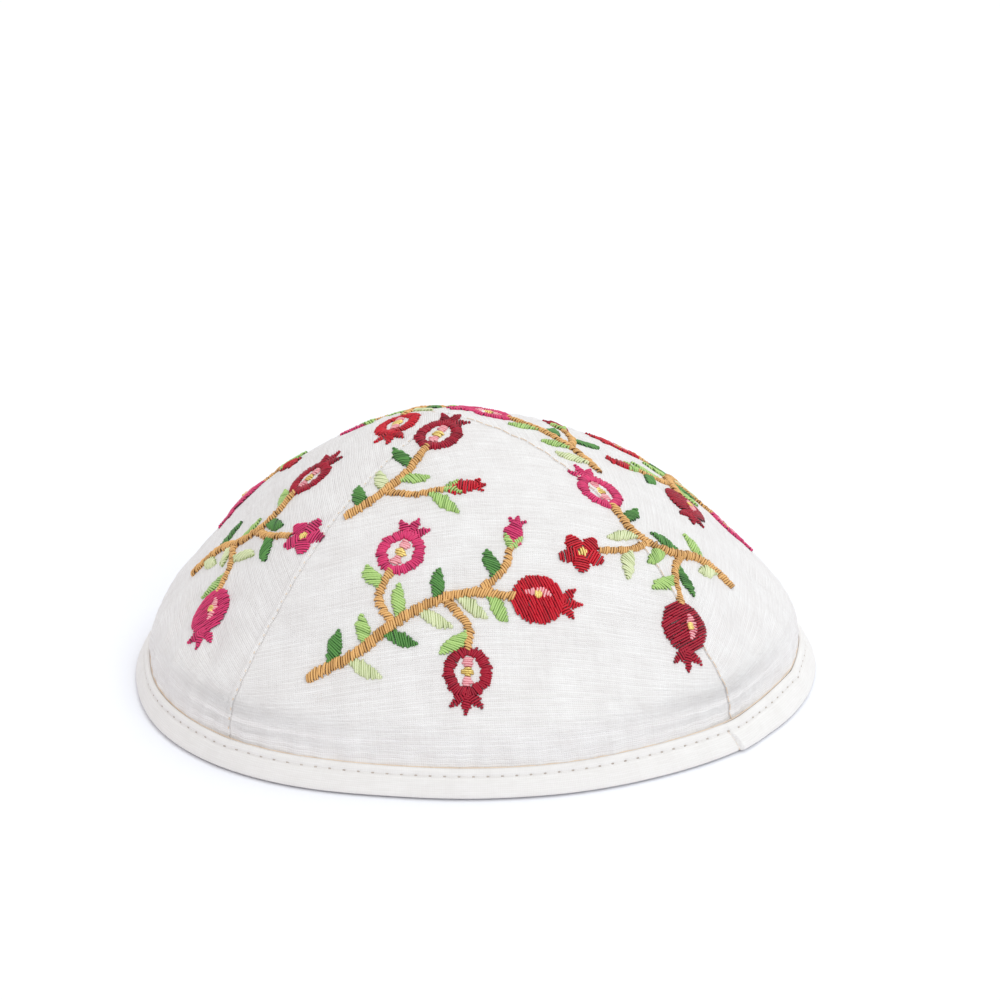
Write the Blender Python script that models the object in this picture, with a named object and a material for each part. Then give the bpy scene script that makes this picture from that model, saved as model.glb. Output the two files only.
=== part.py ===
"""A kippah: a shallow cap of four cloth panels, sewn edge to edge, with a bound rim.

Metres, +Z up, the front towards -Y. The origin is the middle of the footprint, on
the surface that the rim stands on. An azimuth is measured from the front towards +X.
"""

import math
from typing import NamedTuple

import bmesh
import bpy
from mathutils import Vector

# The cap as a whole
RIM_DIAMETER = 0.170  # mean, across the outside of the rim band at its foot
CAP_HEIGHT = 0.0655  # from the foot of the rim to the top of the cap
APEX_SHIFT_X = -0.0065  # the soft crown leans a little to its left
APEX_SHIFT_Y = -0.0020  # and a little forward
LEAN_POWER = 2.5  # how late on the way up the lean sets in

# The cloth
PANEL_WALL = 0.0012  # face cloth, backing and lining, sewn as one layer
BAND_WALL = 0.0011  # the binding strip, its raw edges turned in
SEAM_GAP = 0.0003  # between two panels, along the whole seam
FIT_GAP = 0.0003  # between the binding and the panels that it holds

# The binding, folded round the panels' lower edges
BAND_OUTER_HEIGHT = 0.0066
BAND_INNER_HEIGHT = 0.0058
BAND_FOLD_RADIUS = 0.0006  # of the two folds at the foot
BAND_EDGE_ROUND = 0.0004  # of the folded upper edges
FOLD_CORNER_CUT = 0.3  # the share of the fold's radius that its middle corner lies inside
LAP_AZIMUTH = 48.5  # degrees, where one end of the strip laps over the other
LAP_RISE = 0.0006  # how far the lapping end stands out
LAP_LENGTH = 0.016  # along the rim, until the lap has sunk to nothing
LAP_END_WIDTH = 0.0006  # the turned-in end of the strip, seen edge on

# How finely the curved cloth is divided
PANEL_COLUMNS = 12
PANEL_ROWS = 18
BAND_STATIONS = 72
PANEL_FLATNESS_POWER = 1.3  # rises from the seams, so that each seam is a soft ridge
TIP_RADIUS = 0.0008  # where the panels' points end, round the apex
SHARP_EDGE_ANGLE = 35.0  # degrees; sharper edges than this are shaded as edges
HALVINGS = 40  # in a search for a level


class Section(NamedTuple):
    """A level of the panels' outside: its shares of the cap's height and foot radius.

    flat is how far the middle of a panel lies inside the round, as a share.
    """

    height: float
    radius: float
    flat: float


SECTIONS = (
    Section(height=0.000, radius=1.000, flat=0.000),
    Section(height=0.050, radius=0.980, flat=0.002),
    Section(height=0.100, radius=0.966, flat=0.006),
    Section(height=0.165, radius=0.965, flat=0.012),
    Section(height=0.245, radius=0.949, flat=0.024),
    Section(height=0.360, radius=0.885, flat=0.044),
    Section(height=0.500, radius=0.788, flat=0.060),
    Section(height=0.640, radius=0.657, flat=0.060),
    Section(height=0.770, radius=0.494, flat=0.042),
    Section(height=0.875, radius=0.320, flat=0.020),
    Section(height=0.950, radius=0.156, flat=0.006),
    Section(height=1.000, radius=0.000, flat=0.000),
)


class Lobe(NamedTuple):
    """A wave that takes the rim out of round: how many bulges, how high, and where."""

    count: int
    share: float
    azimuth: float


LOBES = (
    Lobe(count=2, share=0.013, azimuth=-45.0),
    Lobe(count=3, share=0.018, azimuth=-50.5),
)


class Seam(NamedTuple):
    """A seam between two panels: its azimuth at the rim, and its turn near the apex."""

    azimuth: float
    turn: float


SEAMS = (
    Seam(azimuth=-43.0, turn=-2.0),
    Seam(azimuth=48.0, turn=23.0),
    Seam(azimuth=137.5, turn=4.0),
    Seam(azimuth=227.5, turn=-3.0),
)
TURN_POWER = 4.0  # the seams run straight up the wall and turn only near the apex
PANEL_NAMES = ("panel_front", "panel_right", "panel_back", "panel_left")

SILK_COLOUR = (0.847, 0.831, 0.804, 1.0)
COTTON_COLOUR = (0.871, 0.855, 0.831, 1.0)
CLOTH_ROUGHNESS = 0.8


def catmull_rom(before, start, end, after, share):
    """A smooth curve's value between start and end, with its neighbours' values."""
    return 0.5 * (
        2 * start
        + (end - before) * share
        + (2 * before - 5 * start + 4 * end - after) * share**2
        + (3 * start - before - 3 * end + after) * share**3
    )


def section_at(level):
    """The section at a level from 0, the foot, to 1, the apex."""
    place = min(max(level, 0.0), 1.0) * (len(SECTIONS) - 1)
    index = min(int(place), len(SECTIONS) - 2)
    start, end = SECTIONS[index], SECTIONS[index + 1]
    before = SECTIONS[index - 1] if index > 0 else Section(*(2 * s - e for s, e in zip(start, end)))
    if index + 2 < len(SECTIONS):
        after = SECTIONS[index + 2]
    else:
        after = Section(*(2 * e - s for s, e in zip(start, end)))
    return Section(*(catmull_rom(*values, place - index) for values in zip(before, start, end, after)))


def level_where(reached):
    """The lowest level at which the test reached(section) holds, by halving."""
    low, high = 0.0, 1.0
    for _ in range(HALVINGS):
        middle = (low + high) / 2
        low, high = (low, middle) if reached(section_at(middle)) else (middle, high)
    return high


def level_at_height(height):
    """The level whose height above the foot is the given one."""
    return level_where(lambda section: section.height * CAP_HEIGHT >= height)


# The binding slopes with the panels under it, so a thickness measured level is longer.
BAND_LEVEL = level_at_height(BAND_OUTER_HEIGHT)
BAND_SLOPE = math.atan2((1 - section_at(BAND_LEVEL).radius) * RIM_DIAMETER / 2, BAND_OUTER_HEIGHT)


def level_across(thickness):
    """The level width of a layer that leans with the rim."""
    return thickness / math.cos(BAND_SLOPE)


FOOT_RADIUS = RIM_DIAMETER / 2 - level_across(BAND_WALL + FIT_GAP)
# The panels' inner edge hangs lower than the outer one, because the wall leans.
PANEL_FOOT_HEIGHT = BAND_WALL + FIT_GAP + PANEL_WALL * math.sin(BAND_SLOPE)


def seam_azimuth(index, height_share):
    """A seam's azimuth in radians at a height. Past the last seam they start again."""
    turns, index = divmod(index, len(SEAMS))
    seam = SEAMS[index]
    return math.radians(seam.azimuth + 360 * turns + seam.turn * height_share**TURN_POWER)


def across_panel(azimuth, height_share):
    """How far across its panel an azimuth lies, from 0 at one seam to 1 at the next."""
    first = seam_azimuth(0, height_share)
    azimuth = first + (azimuth - first) % (2 * math.pi)
    for index in range(len(SEAMS)):
        start = seam_azimuth(index, height_share)
        end = seam_azimuth(index + 1, height_share)
        if azimuth <= end:
            return (azimuth - start) / (end - start)
    return 1.0


def out_of_round(azimuth):
    """The rim's wave at an azimuth, as a share of its radius."""
    return sum(
        lobe.share * math.cos(lobe.count * (azimuth - math.radians(lobe.azimuth)))
        for lobe in LOBES
    )


def polar_point(azimuth, section, extra=0.0):
    """A point of the panels' outside, or one that lies extra further out, level."""
    middle = max(math.sin(math.pi * across_panel(azimuth, section.height)), 0.0)
    radius = FOOT_RADIUS * section.radius * (1 - section.flat * middle**PANEL_FLATNESS_POWER)
    radius *= 1 + out_of_round(azimuth) * (1 - section.height)
    lean = max(section.height, 0.0) ** LEAN_POWER
    return Vector(
        (
            APEX_SHIFT_X * lean + (radius + extra) * math.sin(azimuth),
            APEX_SHIFT_Y * lean - (radius + extra) * math.cos(azimuth),
            section.height * CAP_HEIGHT,
        )
    )


def outward_normal(azimuth, level):
    """The direction square to the cloth's outside, by small steps either way."""
    step = 1e-3
    round_rim = polar_point(azimuth + step, section_at(level)) - polar_point(azimuth - step, section_at(level))
    up_wall = polar_point(azimuth, section_at(level + step)) - polar_point(azimuth, section_at(level - step))
    return round_rim.cross(up_wall).normalized()


def footprint_centre():
    """The middle of the rim's outline, which the whole cap is moved by."""
    foot = [
        polar_point(math.radians(degree), section_at(0.0), level_across(BAND_WALL + FIT_GAP))
        for degree in range(360)
    ]
    spans = [(min(axis) + max(axis)) / 2 for axis in zip(*foot)]
    return Vector((spans[0], spans[1], 0.0))


def cloth(name, colour):
    """A plain woven cloth of one colour."""
    material = bpy.data.materials.new(name)
    material.use_nodes = True
    shader = material.node_tree.nodes["Principled BSDF"]
    shader.inputs["Base Color"].default_value = colour
    shader.inputs["Roughness"].default_value = CLOTH_ROUGHNESS
    shader.inputs["Metallic"].default_value = 0.0
    return material


def add_object(name, bm, material):
    """Makes a named object of a bmesh, at the cap's place and shaded smooth."""
    bmesh.ops.translate(bm, vec=-footprint_centre(), verts=bm.verts)
    bmesh.ops.recalc_face_normals(bm, faces=bm.faces)
    mesh = bpy.data.meshes.new(name)
    bm.to_mesh(mesh)
    bm.free()
    mesh.materials.append(material)
    mesh.shade_smooth()
    mesh.set_sharp_from_angle(angle=math.radians(SHARP_EDGE_ANGLE))
    piece = bpy.data.objects.new(name, mesh)
    bpy.context.scene.collection.objects.link(piece)
    return piece


def panel(index, name, material):
    """One of the cap's panels, from its foot inside the binding to its point at the apex.

    A unit grid is given a second layer, then each corner is moved from its place
    across, up and through the cloth to its place on the cap.
    """
    foot_level = level_at_height(PANEL_FOOT_HEIGHT)
    tip_level = level_where(lambda section: section.radius * FOOT_RADIUS <= TIP_RADIUS)

    bm = bmesh.new()
    bmesh.ops.create_grid(bm, x_segments=PANEL_COLUMNS, y_segments=PANEL_ROWS, size=0.5)
    bmesh.ops.translate(bm, vec=(0.5, 0.5, 0.0), verts=bm.verts)
    inner = bmesh.ops.extrude_face_region(bm, geom=bm.faces[:], use_keep_orig=True)
    inner_corners = [item for item in inner["geom"] if isinstance(item, bmesh.types.BMVert)]
    bmesh.ops.translate(bm, vec=(0.0, 0.0, 1.0), verts=inner_corners)

    for corner in bm.verts:
        across, up, depth = corner.co
        level = foot_level + (tip_level - foot_level) * up
        section = section_at(level)
        margin = SEAM_GAP / 2 / (section.radius * FOOT_RADIUS)
        start = seam_azimuth(index, section.height) + margin
        end = seam_azimuth(index + 1, section.height) - margin
        azimuth = start + (end - start) * across
        corner.co = polar_point(azimuth, section) - outward_normal(azimuth, level) * PANEL_WALL * depth
    return add_object(name, bm, material)


def band_profile():
    """The binding's section as (distance out from the panels, height), going round once."""
    outside = level_across(BAND_WALL + FIT_GAP)
    outer_inside = level_across(FIT_GAP)
    inner_inside = -level_across(PANEL_WALL + FIT_GAP)
    inside = -level_across(PANEL_WALL + FIT_GAP + BAND_WALL)
    fold, edge = BAND_FOLD_RADIUS, BAND_EDGE_ROUND
    return (
        (outside - fold, 0.0),
        (outside - fold * FOLD_CORNER_CUT, fold * FOLD_CORNER_CUT),
        (outside, fold),
        (outside, BAND_OUTER_HEIGHT / 2),
        (outside, BAND_OUTER_HEIGHT - edge),
        (outside - edge, BAND_OUTER_HEIGHT),
        (outer_inside + edge / 2, BAND_OUTER_HEIGHT),
        (outer_inside, BAND_OUTER_HEIGHT - edge),
        (outer_inside, BAND_OUTER_HEIGHT / 2),
        (outer_inside, BAND_WALL),
        (inner_inside, BAND_WALL),
        (inner_inside, BAND_INNER_HEIGHT / 2),
        (inner_inside, BAND_INNER_HEIGHT - edge),
        (inner_inside - edge / 2, BAND_INNER_HEIGHT),
        (inside + edge, BAND_INNER_HEIGHT),
        (inside, BAND_INNER_HEIGHT - edge),
        (inside, BAND_INNER_HEIGHT / 2),
        (inside, fold),
        (inside + fold, 0.0),
    )


def lap_share(station):
    """How much of the lap's rise a station has: all at the lapping end, then less."""
    from_end = station_azimuth(station) - station_azimuth(1)
    if station == 0:
        return 0.0
    return max(0.0, 1 - from_end * RIM_DIAMETER / 2 / LAP_LENGTH)


def station_azimuth(station):
    """A station's azimuth in radians. The first step is the strip's end, seen edge on."""
    start = math.radians(LAP_AZIMUTH)
    if station == 0:
        return start
    end_width = LAP_END_WIDTH / (RIM_DIAMETER / 2)
    return start + end_width + (2 * math.pi - end_width) * (station - 1) / (BAND_STATIONS - 1)


def rim_band(name, material):
    """The binding: one strip folded round the rim, its end lapped over its start.

    The section is spun round a plain circle, then each corner is moved from its
    station, distance and height there to its place on the rim.
    """
    circle = 1.0
    bm = bmesh.new()
    profile = [bm.verts.new((circle + out, 0.0, height)) for out, height in band_profile()]
    loop = [bm.edges.new((a, b)) for a, b in zip(profile, profile[1:] + profile[:1])]
    bmesh.ops.spin(
        bm,
        geom=profile + loop,
        cent=(0, 0, 0),
        axis=(0, 0, 1),
        angle=2 * math.pi,
        steps=BAND_STATIONS,
        use_merge=True,
    )
    outside = level_across(BAND_WALL)
    for corner in bm.verts:
        turned = math.atan2(corner.co.y, corner.co.x) % (2 * math.pi)
        station = round(turned / (2 * math.pi) * BAND_STATIONS) % BAND_STATIONS
        out = math.hypot(corner.co.x, corner.co.y) - circle
        height = corner.co.z
        azimuth = station_azimuth(station)
        if out >= outside / 2:
            out += LAP_RISE * lap_share(station)
        place = polar_point(azimuth, section_at(level_at_height(height)), out)
        corner.co = (place.x, place.y, height)
    return add_object(name, bm, material)


def main():
    """Clears the scene and builds the cap."""
    for leftover in list(bpy.data.objects):
        bpy.data.objects.remove(leftover)
    silk = cloth("ivory_silk", SILK_COLOUR)
    cotton = cloth("ivory_cotton", COTTON_COLOUR)
    for index, name in enumerate(PANEL_NAMES):
        panel(index, name, silk)
    rim_band("rim_band", cotton)


main()
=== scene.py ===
"""The looks of a kippah: a cap of four raw silk panels, bound at the rim and embroidered.

Everything is in metres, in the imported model's frame, with the front towards -Y. The
silk panels and the binding stand for the plain solids and keep their form. The
embroidery is laid on the silk strand by strand. Drawings and tables that say so are
in millimetres.
"""

import logging
import math
from collections.abc import Callable, Iterator
from dataclasses import dataclass, field
from enum import Enum
from itertools import cycle
from typing import NamedTuple

import bmesh
import bpy
import numpy as np
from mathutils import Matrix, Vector, noise
from mathutils.bvhtree import BVHTree

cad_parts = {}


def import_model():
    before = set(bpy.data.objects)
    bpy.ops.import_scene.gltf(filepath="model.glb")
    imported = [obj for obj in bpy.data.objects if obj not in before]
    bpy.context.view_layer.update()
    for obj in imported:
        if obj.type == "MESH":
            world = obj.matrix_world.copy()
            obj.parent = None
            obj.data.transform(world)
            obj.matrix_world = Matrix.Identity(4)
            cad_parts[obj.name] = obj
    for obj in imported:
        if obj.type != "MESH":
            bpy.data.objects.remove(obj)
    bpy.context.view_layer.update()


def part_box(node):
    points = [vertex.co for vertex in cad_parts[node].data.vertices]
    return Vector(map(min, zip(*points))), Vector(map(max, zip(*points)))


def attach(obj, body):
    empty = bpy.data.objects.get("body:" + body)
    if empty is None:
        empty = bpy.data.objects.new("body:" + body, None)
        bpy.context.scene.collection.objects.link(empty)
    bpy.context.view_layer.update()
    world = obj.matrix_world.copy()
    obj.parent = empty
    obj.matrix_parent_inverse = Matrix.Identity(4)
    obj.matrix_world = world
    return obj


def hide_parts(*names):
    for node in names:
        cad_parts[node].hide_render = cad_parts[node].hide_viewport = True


log = logging.getLogger("kippah")

MM = 0.001
TURN = 2 * math.pi
UP = np.array((0.0, 0.0, 1.0))


# Colours, nodes and meshes


def srgb(code: str) -> tuple[float, float, float, float]:
    """Turns a hex colour into what a shader takes.

    Args:
        code: An sRGB colour such as "#c98d46".

    Returns:
        Linear red, green and blue, with an alpha of 1.
    """
    values = [int(code[place : place + 2], 16) / 255 for place in (1, 3, 5)]
    linear = [v / 12.92 if v <= 0.04045 else ((v + 0.055) / 1.055) ** 2.4 for v in values]
    return (*linear, 1.0)


def add_node(tree: bpy.types.NodeTree, kind: str, inputs: dict | None = None, **settings) -> bpy.types.Node:
    """Adds a node with its settings, and fills or links its inputs.

    Args:
        tree: The material's node tree.
        kind: The node's type, such as "ShaderNodeBump".
        inputs: For each input's name or number, a value or another node's output.
        settings: The node's own settings.

    Returns:
        The new node.
    """
    node = tree.nodes.new(kind)
    for name, value in settings.items():
        setattr(node, name, value)
    for socket, value in (inputs or {}).items():
        if isinstance(value, bpy.types.NodeSocket):
            tree.links.new(value, node.inputs[socket])
        else:
            node.inputs[socket].default_value = value
    return node


def new_material(name: str) -> tuple[bpy.types.Material, bpy.types.NodeTree, bpy.types.Node]:
    """Makes an empty material.

    Args:
        name: The material's name.

    Returns:
        The material, its node tree and its Principled shader.
    """
    material = bpy.data.materials.new(name)
    material.use_nodes = True
    return material, material.node_tree, material.node_tree.nodes["Principled BSDF"]


def wave_scale(pitch: float) -> float:
    """The Wave Texture's scale at which one band has that pitch, in the coordinate's units."""
    return TURN / 20 / pitch


def scaled_sum(tree: bpy.types.NodeTree, value: object, factor: float, addend: object) -> bpy.types.NodeSocket:
    """Adds value times factor to the addend. Either of the two may be another node's output."""
    return add_node(tree, "ShaderNodeMath", {0: value, 1: factor, 2: addend}, operation="MULTIPLY_ADD").outputs[0]


def blend(tree: bpy.types.NodeTree, share: object, first: str, second: str) -> bpy.types.NodeSocket:
    """Goes from the first hex colour to the second as the share goes from 0 to 1."""
    inputs = {0: share, 6: srgb(first), 7: srgb(second)}
    return add_node(tree, "ShaderNodeMix", inputs, data_type="RGBA").outputs[2]


def wobble(points: np.ndarray, wavelength: float, seed: float) -> np.ndarray:
    """Smooth noise from -1 to 1 at each point, about as long as the wavelength."""
    shift = Vector((seed, -seed, 2 * seed))
    return np.array([noise.noise(Vector(point) / wavelength + shift) for point in points])


def bell(distance: np.ndarray, width: float) -> np.ndarray:
    """A smooth bump that is 1 at distance 0 and small past twice the width."""
    return np.exp(-((distance / width) ** 2))


def turned_from(azimuth: np.ndarray, centre: float) -> np.ndarray:
    """How far each azimuth is turned from a centre given in degrees, from minus half a turn to half."""
    return (azimuth - math.radians(centre) + math.pi) % TURN - math.pi


def smooth_table(rows: np.ndarray, place: np.ndarray) -> np.ndarray:
    """Reads a table on the smooth curve that passes through its rows.

    Args:
        rows: The table, with its rows at 0, 1, 2 and so on.
        place: Where to read it, a fraction of a row included.

    Returns:
        One row of values for each place.
    """
    rows = np.vstack([2 * rows[0] - rows[1], rows, 2 * rows[-1] - rows[-2]])
    index = np.clip(place.astype(int), 0, len(rows) - 4)
    share = (place - index)[..., None]
    before, start, end, after = (rows[index + step] for step in range(4))
    return 0.5 * (
        2 * start
        + (end - before) * share
        + (2 * before - 5 * start + 4 * end - after) * share**2
        + (3 * start - before - 3 * end + after) * share**3
    )


def finish_piece(name: str, mesh: bpy.types.Mesh, material: bpy.types.Material) -> bpy.types.Object:
    """Makes a smooth-shaded object of a mesh, and lets it ride on the cap.

    Args:
        name: The piece's name.
        mesh: Its mesh, in place.
        material: Its finish.

    Returns:
        The new object.
    """
    mesh.materials.append(material)
    mesh.shade_smooth()
    piece = bpy.data.objects.new(name, mesh)
    bpy.context.scene.collection.objects.link(piece)
    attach(piece, "root")
    log.info("%s: %d faces", name, len(mesh.polygons))
    return piece


# The cap's form


class Section(NamedTuple):
    """A level of the panels' outside: its shares of the cap's height and foot radius.

    flat is how far the middle of a panel lies inside the round, as a share.
    """

    height: float
    radius: float
    flat: float


class Lobe(NamedTuple):
    """A wave that takes the rim out of round: how many bulges, how high, and where."""

    count: int
    share: float
    azimuth: float


class Ridge(Enum):
    """Which of the two panels at a seam lies on top, and so has a raised edge."""

    BEFORE = 0
    AFTER = 1


class Seam(NamedTuple):
    """A seam: its azimuth at the rim, its turn near the apex, its ridge, and how much of each stitch shows."""

    azimuth: float
    turn: float
    ridge: Ridge
    shown: float  # mm
    sway: float = 0.0  # how far it bows half-way up, in degrees


class Bend(NamedTuple):
    """How far the rim lies out of its plain form at an azimuth: its foot and the binding's upper edge, in mm."""

    azimuth: float
    foot: float
    edge: float


SECTIONS = (
    Section(height=0.000, radius=1.000, flat=0.000),
    Section(height=0.050, radius=0.980, flat=0.002),
    Section(height=0.100, radius=0.966, flat=0.006),
    Section(height=0.165, radius=0.965, flat=0.012),
    Section(height=0.245, radius=0.949, flat=0.024),
    Section(height=0.360, radius=0.885, flat=0.044),
    Section(height=0.500, radius=0.788, flat=0.060),
    Section(height=0.640, radius=0.657, flat=0.060),
    Section(height=0.770, radius=0.494, flat=0.042),
    Section(height=0.875, radius=0.320, flat=0.020),
    Section(height=0.950, radius=0.156, flat=0.006),
    Section(height=1.000, radius=0.000, flat=0.000),
)
LOBES = (
    Lobe(count=2, share=0.013, azimuth=-45.0),
    Lobe(count=3, share=0.018, azimuth=-50.5),
)
SEAMS = (
    Seam(azimuth=-43.0, turn=-2.0, ridge=Ridge.BEFORE, shown=0.55),
    # This seam's stitches show for most of their pitch, so their beige strands run as a nearly unbroken tan line in
    # its groove: seam thread, and painted shade of the groove.
    Seam(azimuth=49.6, turn=26.0, ridge=Ridge.AFTER, shown=1.7, sway=-3.0),
    Seam(azimuth=137.5, turn=4.0, ridge=Ridge.BEFORE, shown=0.7),
    Seam(azimuth=227.5, turn=-3.0, ridge=Ridge.AFTER, shown=1.4),
)
BENDS = (
    Bend(-125, 0.0, 0.0), Bend(-105, 1.2, 1.4), Bend(-92, 1.0, 1.2), Bend(-78, 0.2, 0.9), Bend(-68, 0.5, 1.5),
    Bend(-59, 1.15, 1.7), Bend(-50, 1.4, 1.75), Bend(-42, 1.35, 1.8), Bend(-34, 1.0, 1.1), Bend(-27, 0.4, 0.1),
    Bend(-20, -0.5, -0.6), Bend(-14, -1.0, -0.75), Bend(-7, -0.75, -0.5), Bend(0, -0.35, -0.2), Bend(8, 0.0, 0.3),
    Bend(15, 0.45, 0.2), Bend(22, 0.45, -0.1), Bend(30, 0.4, -0.5), Bend(37, 0.5, -0.6), Bend(43, 0.6, -0.1),
    Bend(48, 0.7, -0.1), Bend(54, 0.5, -1.0), Bend(60, 0.45, -1.4), Bend(67, 0.3, -1.3), Bend(72, 0.1, -0.5),
    Bend(77, 0.1, -0.5), Bend(82, 0.1, -0.4), Bend(88, 0.1, 0.2), Bend(105, 0.0, 0.0),
)
PANEL_NAMES = ("panel_front", "panel_right", "panel_back", "panel_left")


@dataclass
class CapForm:
    """The cap's form, as the frame's solids have it.

    An azimuth is measured from the front towards +X, in radians, and a level goes
    from 0 at the foot to 1 at the apex. All methods take and return arrays.
    """

    rim_diameter: float
    height: float
    band_height: float
    panel_wall: float = 1.2 * MM
    band_wall: float = 1.1 * MM
    fit_gap: float = 0.3 * MM
    apex_shift: tuple[float, float] = (-6.5 * MM, -2.0 * MM)
    lean_power: float = 2.5
    turn_power: float = 4.0
    flatness_power: float = 1.3
    bend_reach: float = 26 * MM  # up the silk from the binding
    bend_blur: float = 3.0  # degrees

    def __post_init__(self) -> None:
        """Works out the rim's slope, the panels' foot and the middle of the footprint."""
        self.levels = np.linspace(0.0, 1.0, 2001)
        heights, radii, _ = self.section(self.levels)
        self.level_heights = heights * self.height
        band_radius = np.interp(self.band_height, self.level_heights, radii)
        self.slope = math.atan2((1 - band_radius) * self.rim_diameter / 2, self.band_height)
        self.foot_radius = self.rim_diameter / 2 - self.level_across(self.band_wall + self.fit_gap)
        steps = np.hypot(np.diff(self.level_heights), np.diff(radii * self.foot_radius))
        self.level_arcs = np.concatenate(([0.0], np.cumsum(steps)))
        self.arc = float(self.level_arcs[-1])
        self.centre = np.zeros(3)
        azimuth = np.radians(np.arange(360.0))
        foot = self.place(azimuth, np.zeros(360), self.level_across(self.band_wall + self.fit_gap), bent=False)
        self.centre = (foot.min(axis=0) + foot.max(axis=0)) / 2

    @classmethod
    def from_frame(cls) -> "CapForm":
        """Works out the driving sizes from the frame's boxes.

        Returns:
            The form at the frame's size.
        """
        low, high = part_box("rim_band")
        top = max(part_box(name)[1].z for name in PANEL_NAMES)
        trial = cls(rim_diameter=high.x - low.x, height=top, band_height=high.z)
        azimuth = np.radians(np.arange(360.0))
        outside = trial.level_across(trial.band_wall + trial.fit_gap)
        foot = trial.place(azimuth, np.zeros(360), outside, bent=False)
        spread = np.ptp(foot[:, :2], axis=0).mean()
        wanted = ((high.x - low.x) + (high.y - low.y)) / 2
        return cls(rim_diameter=trial.rim_diameter * wanted / spread, height=top, band_height=high.z)

    def level_across(self, thickness: float) -> float:
        """The level width of a layer that leans with the rim."""
        return thickness / math.cos(self.slope)

    def section(self, level: np.ndarray) -> tuple[np.ndarray, np.ndarray, np.ndarray]:
        """Reads the table of sections on a smooth curve.

        Args:
            level: Levels from 0 to 1.

        Returns:
            The shares of height and radius, and the flatness, at each level.
        """
        values = smooth_table(np.array(SECTIONS), np.clip(level, 0.0, 1.0) * (len(SECTIONS) - 1))
        return values[..., 0], values[..., 1], values[..., 2]

    def level_at_height(self, height: np.ndarray) -> np.ndarray:
        """The levels whose heights above the foot are the given ones."""
        return np.interp(height, self.level_heights, self.levels)

    def level_at_arc(self, arc: np.ndarray) -> np.ndarray:
        """The levels that lie that far up the wall, measured along the cloth."""
        return np.interp(arc, self.level_arcs, self.levels)

    def seam_azimuth(self, index: int, height_share: np.ndarray) -> np.ndarray:
        """A seam's azimuths at heights. Past the last seam they start again."""
        turns, index = divmod(index, len(SEAMS))
        seam = SEAMS[index]
        turn = seam.turn * height_share**self.turn_power + 4 * seam.sway * height_share * (1 - height_share)
        return np.radians(seam.azimuth + 360 * turns + turn)

    def across_panel(self, azimuth: np.ndarray, height_share: np.ndarray) -> np.ndarray:
        """How far across its panel each azimuth lies, from 0 at one seam to 1 at the next."""
        first = self.seam_azimuth(0, height_share)
        azimuth = first + (azimuth - first) % TURN
        across = np.zeros_like(azimuth)
        for index in range(len(SEAMS)):
            start = self.seam_azimuth(index, height_share)
            end = self.seam_azimuth(index + 1, height_share)
            within = (azimuth >= start) & (azimuth <= end)
            across = np.where(within, (azimuth - start) / (end - start), across)
        return across

    def out_of_round(self, azimuth: np.ndarray) -> np.ndarray:
        """The rim's wave at each azimuth, as a share of its radius."""
        return sum(lobe.share * np.cos(lobe.count * (azimuth - math.radians(lobe.azimuth))) for lobe in LOBES)

    def bend(self, azimuth: np.ndarray, height: np.ndarray) -> np.ndarray:
        """Reads the rim's bends, softened a little. They fade up the silk.

        Args:
            azimuth: The points' azimuths.
            height: Their heights.

        Returns:
            How far out of the plain form each point lies.
        """
        table = np.array(BENDS)
        degrees = np.degrees(turned_from(azimuth, 0.0))
        blur = np.linspace(-self.bend_blur, self.bend_blur, 5)
        foot, edge = (
            sum(np.interp(degrees + step, table[:, 0], table[:, column]) for step in blur) / len(blur) * MM
            for column in (1, 2)
        )
        up = np.clip(height / self.band_height, 0.0, 1.0)
        above = np.clip((height - self.band_height) / self.bend_reach, 0.0, 1.0)
        return (foot + (edge - foot) * up) * (1 - above) ** 2 * (1 + 2 * above)

    def place(self, azimuth: np.ndarray, level: np.ndarray, extra: np.ndarray | float = 0.0,
              bent: bool = True) -> np.ndarray:
        """Finds points of the panels' outside, or points that lie extra further out.

        Args:
            azimuth: The points' azimuths.
            level: Their levels.
            extra: How much further out they lie, measured level.
            bent: Whether the rim has its bends.

        Returns:
            An array of points, one row each.
        """
        height, radius_share, flat = self.section(level)
        middle = np.maximum(np.sin(math.pi * self.across_panel(azimuth, height)), 0.0)
        radius = self.foot_radius * radius_share * (1 - flat * middle**self.flatness_power)
        radius = radius * (1 + self.out_of_round(azimuth) * (1 - height)) + extra
        if bent:
            radius = radius + self.bend(azimuth, height * self.height)
        lean = np.maximum(height, 0.0) ** self.lean_power
        x = self.apex_shift[0] * lean + radius * np.sin(azimuth)
        y = self.apex_shift[1] * lean - radius * np.cos(azimuth)
        return np.stack([x, y, height * self.height], axis=-1) - self.centre

    def normal(self, azimuth: np.ndarray, level: np.ndarray) -> np.ndarray:
        """Finds the directions square to the cloth, turning to straight up at the very top.

        Args:
            azimuth: The points' azimuths.
            level: Their levels.

        Returns:
            An array of unit directions, one row each.
        """
        step = 1e-3
        level = np.clip(level, step, 1 - 2 * step)
        along = self.place(azimuth + step, level) - self.place(azimuth - step, level)
        up = self.place(azimuth, level + step) - self.place(azimuth, level - step)
        square = np.cross(along, up)
        square /= np.linalg.norm(square, axis=-1, keepdims=True)
        radius = self.foot_radius * self.section(level)[1]
        square += UP * bell(radius, 2 * MM)[..., None]
        return square / np.linalg.norm(square, axis=-1, keepdims=True)


# Finishes


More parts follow.
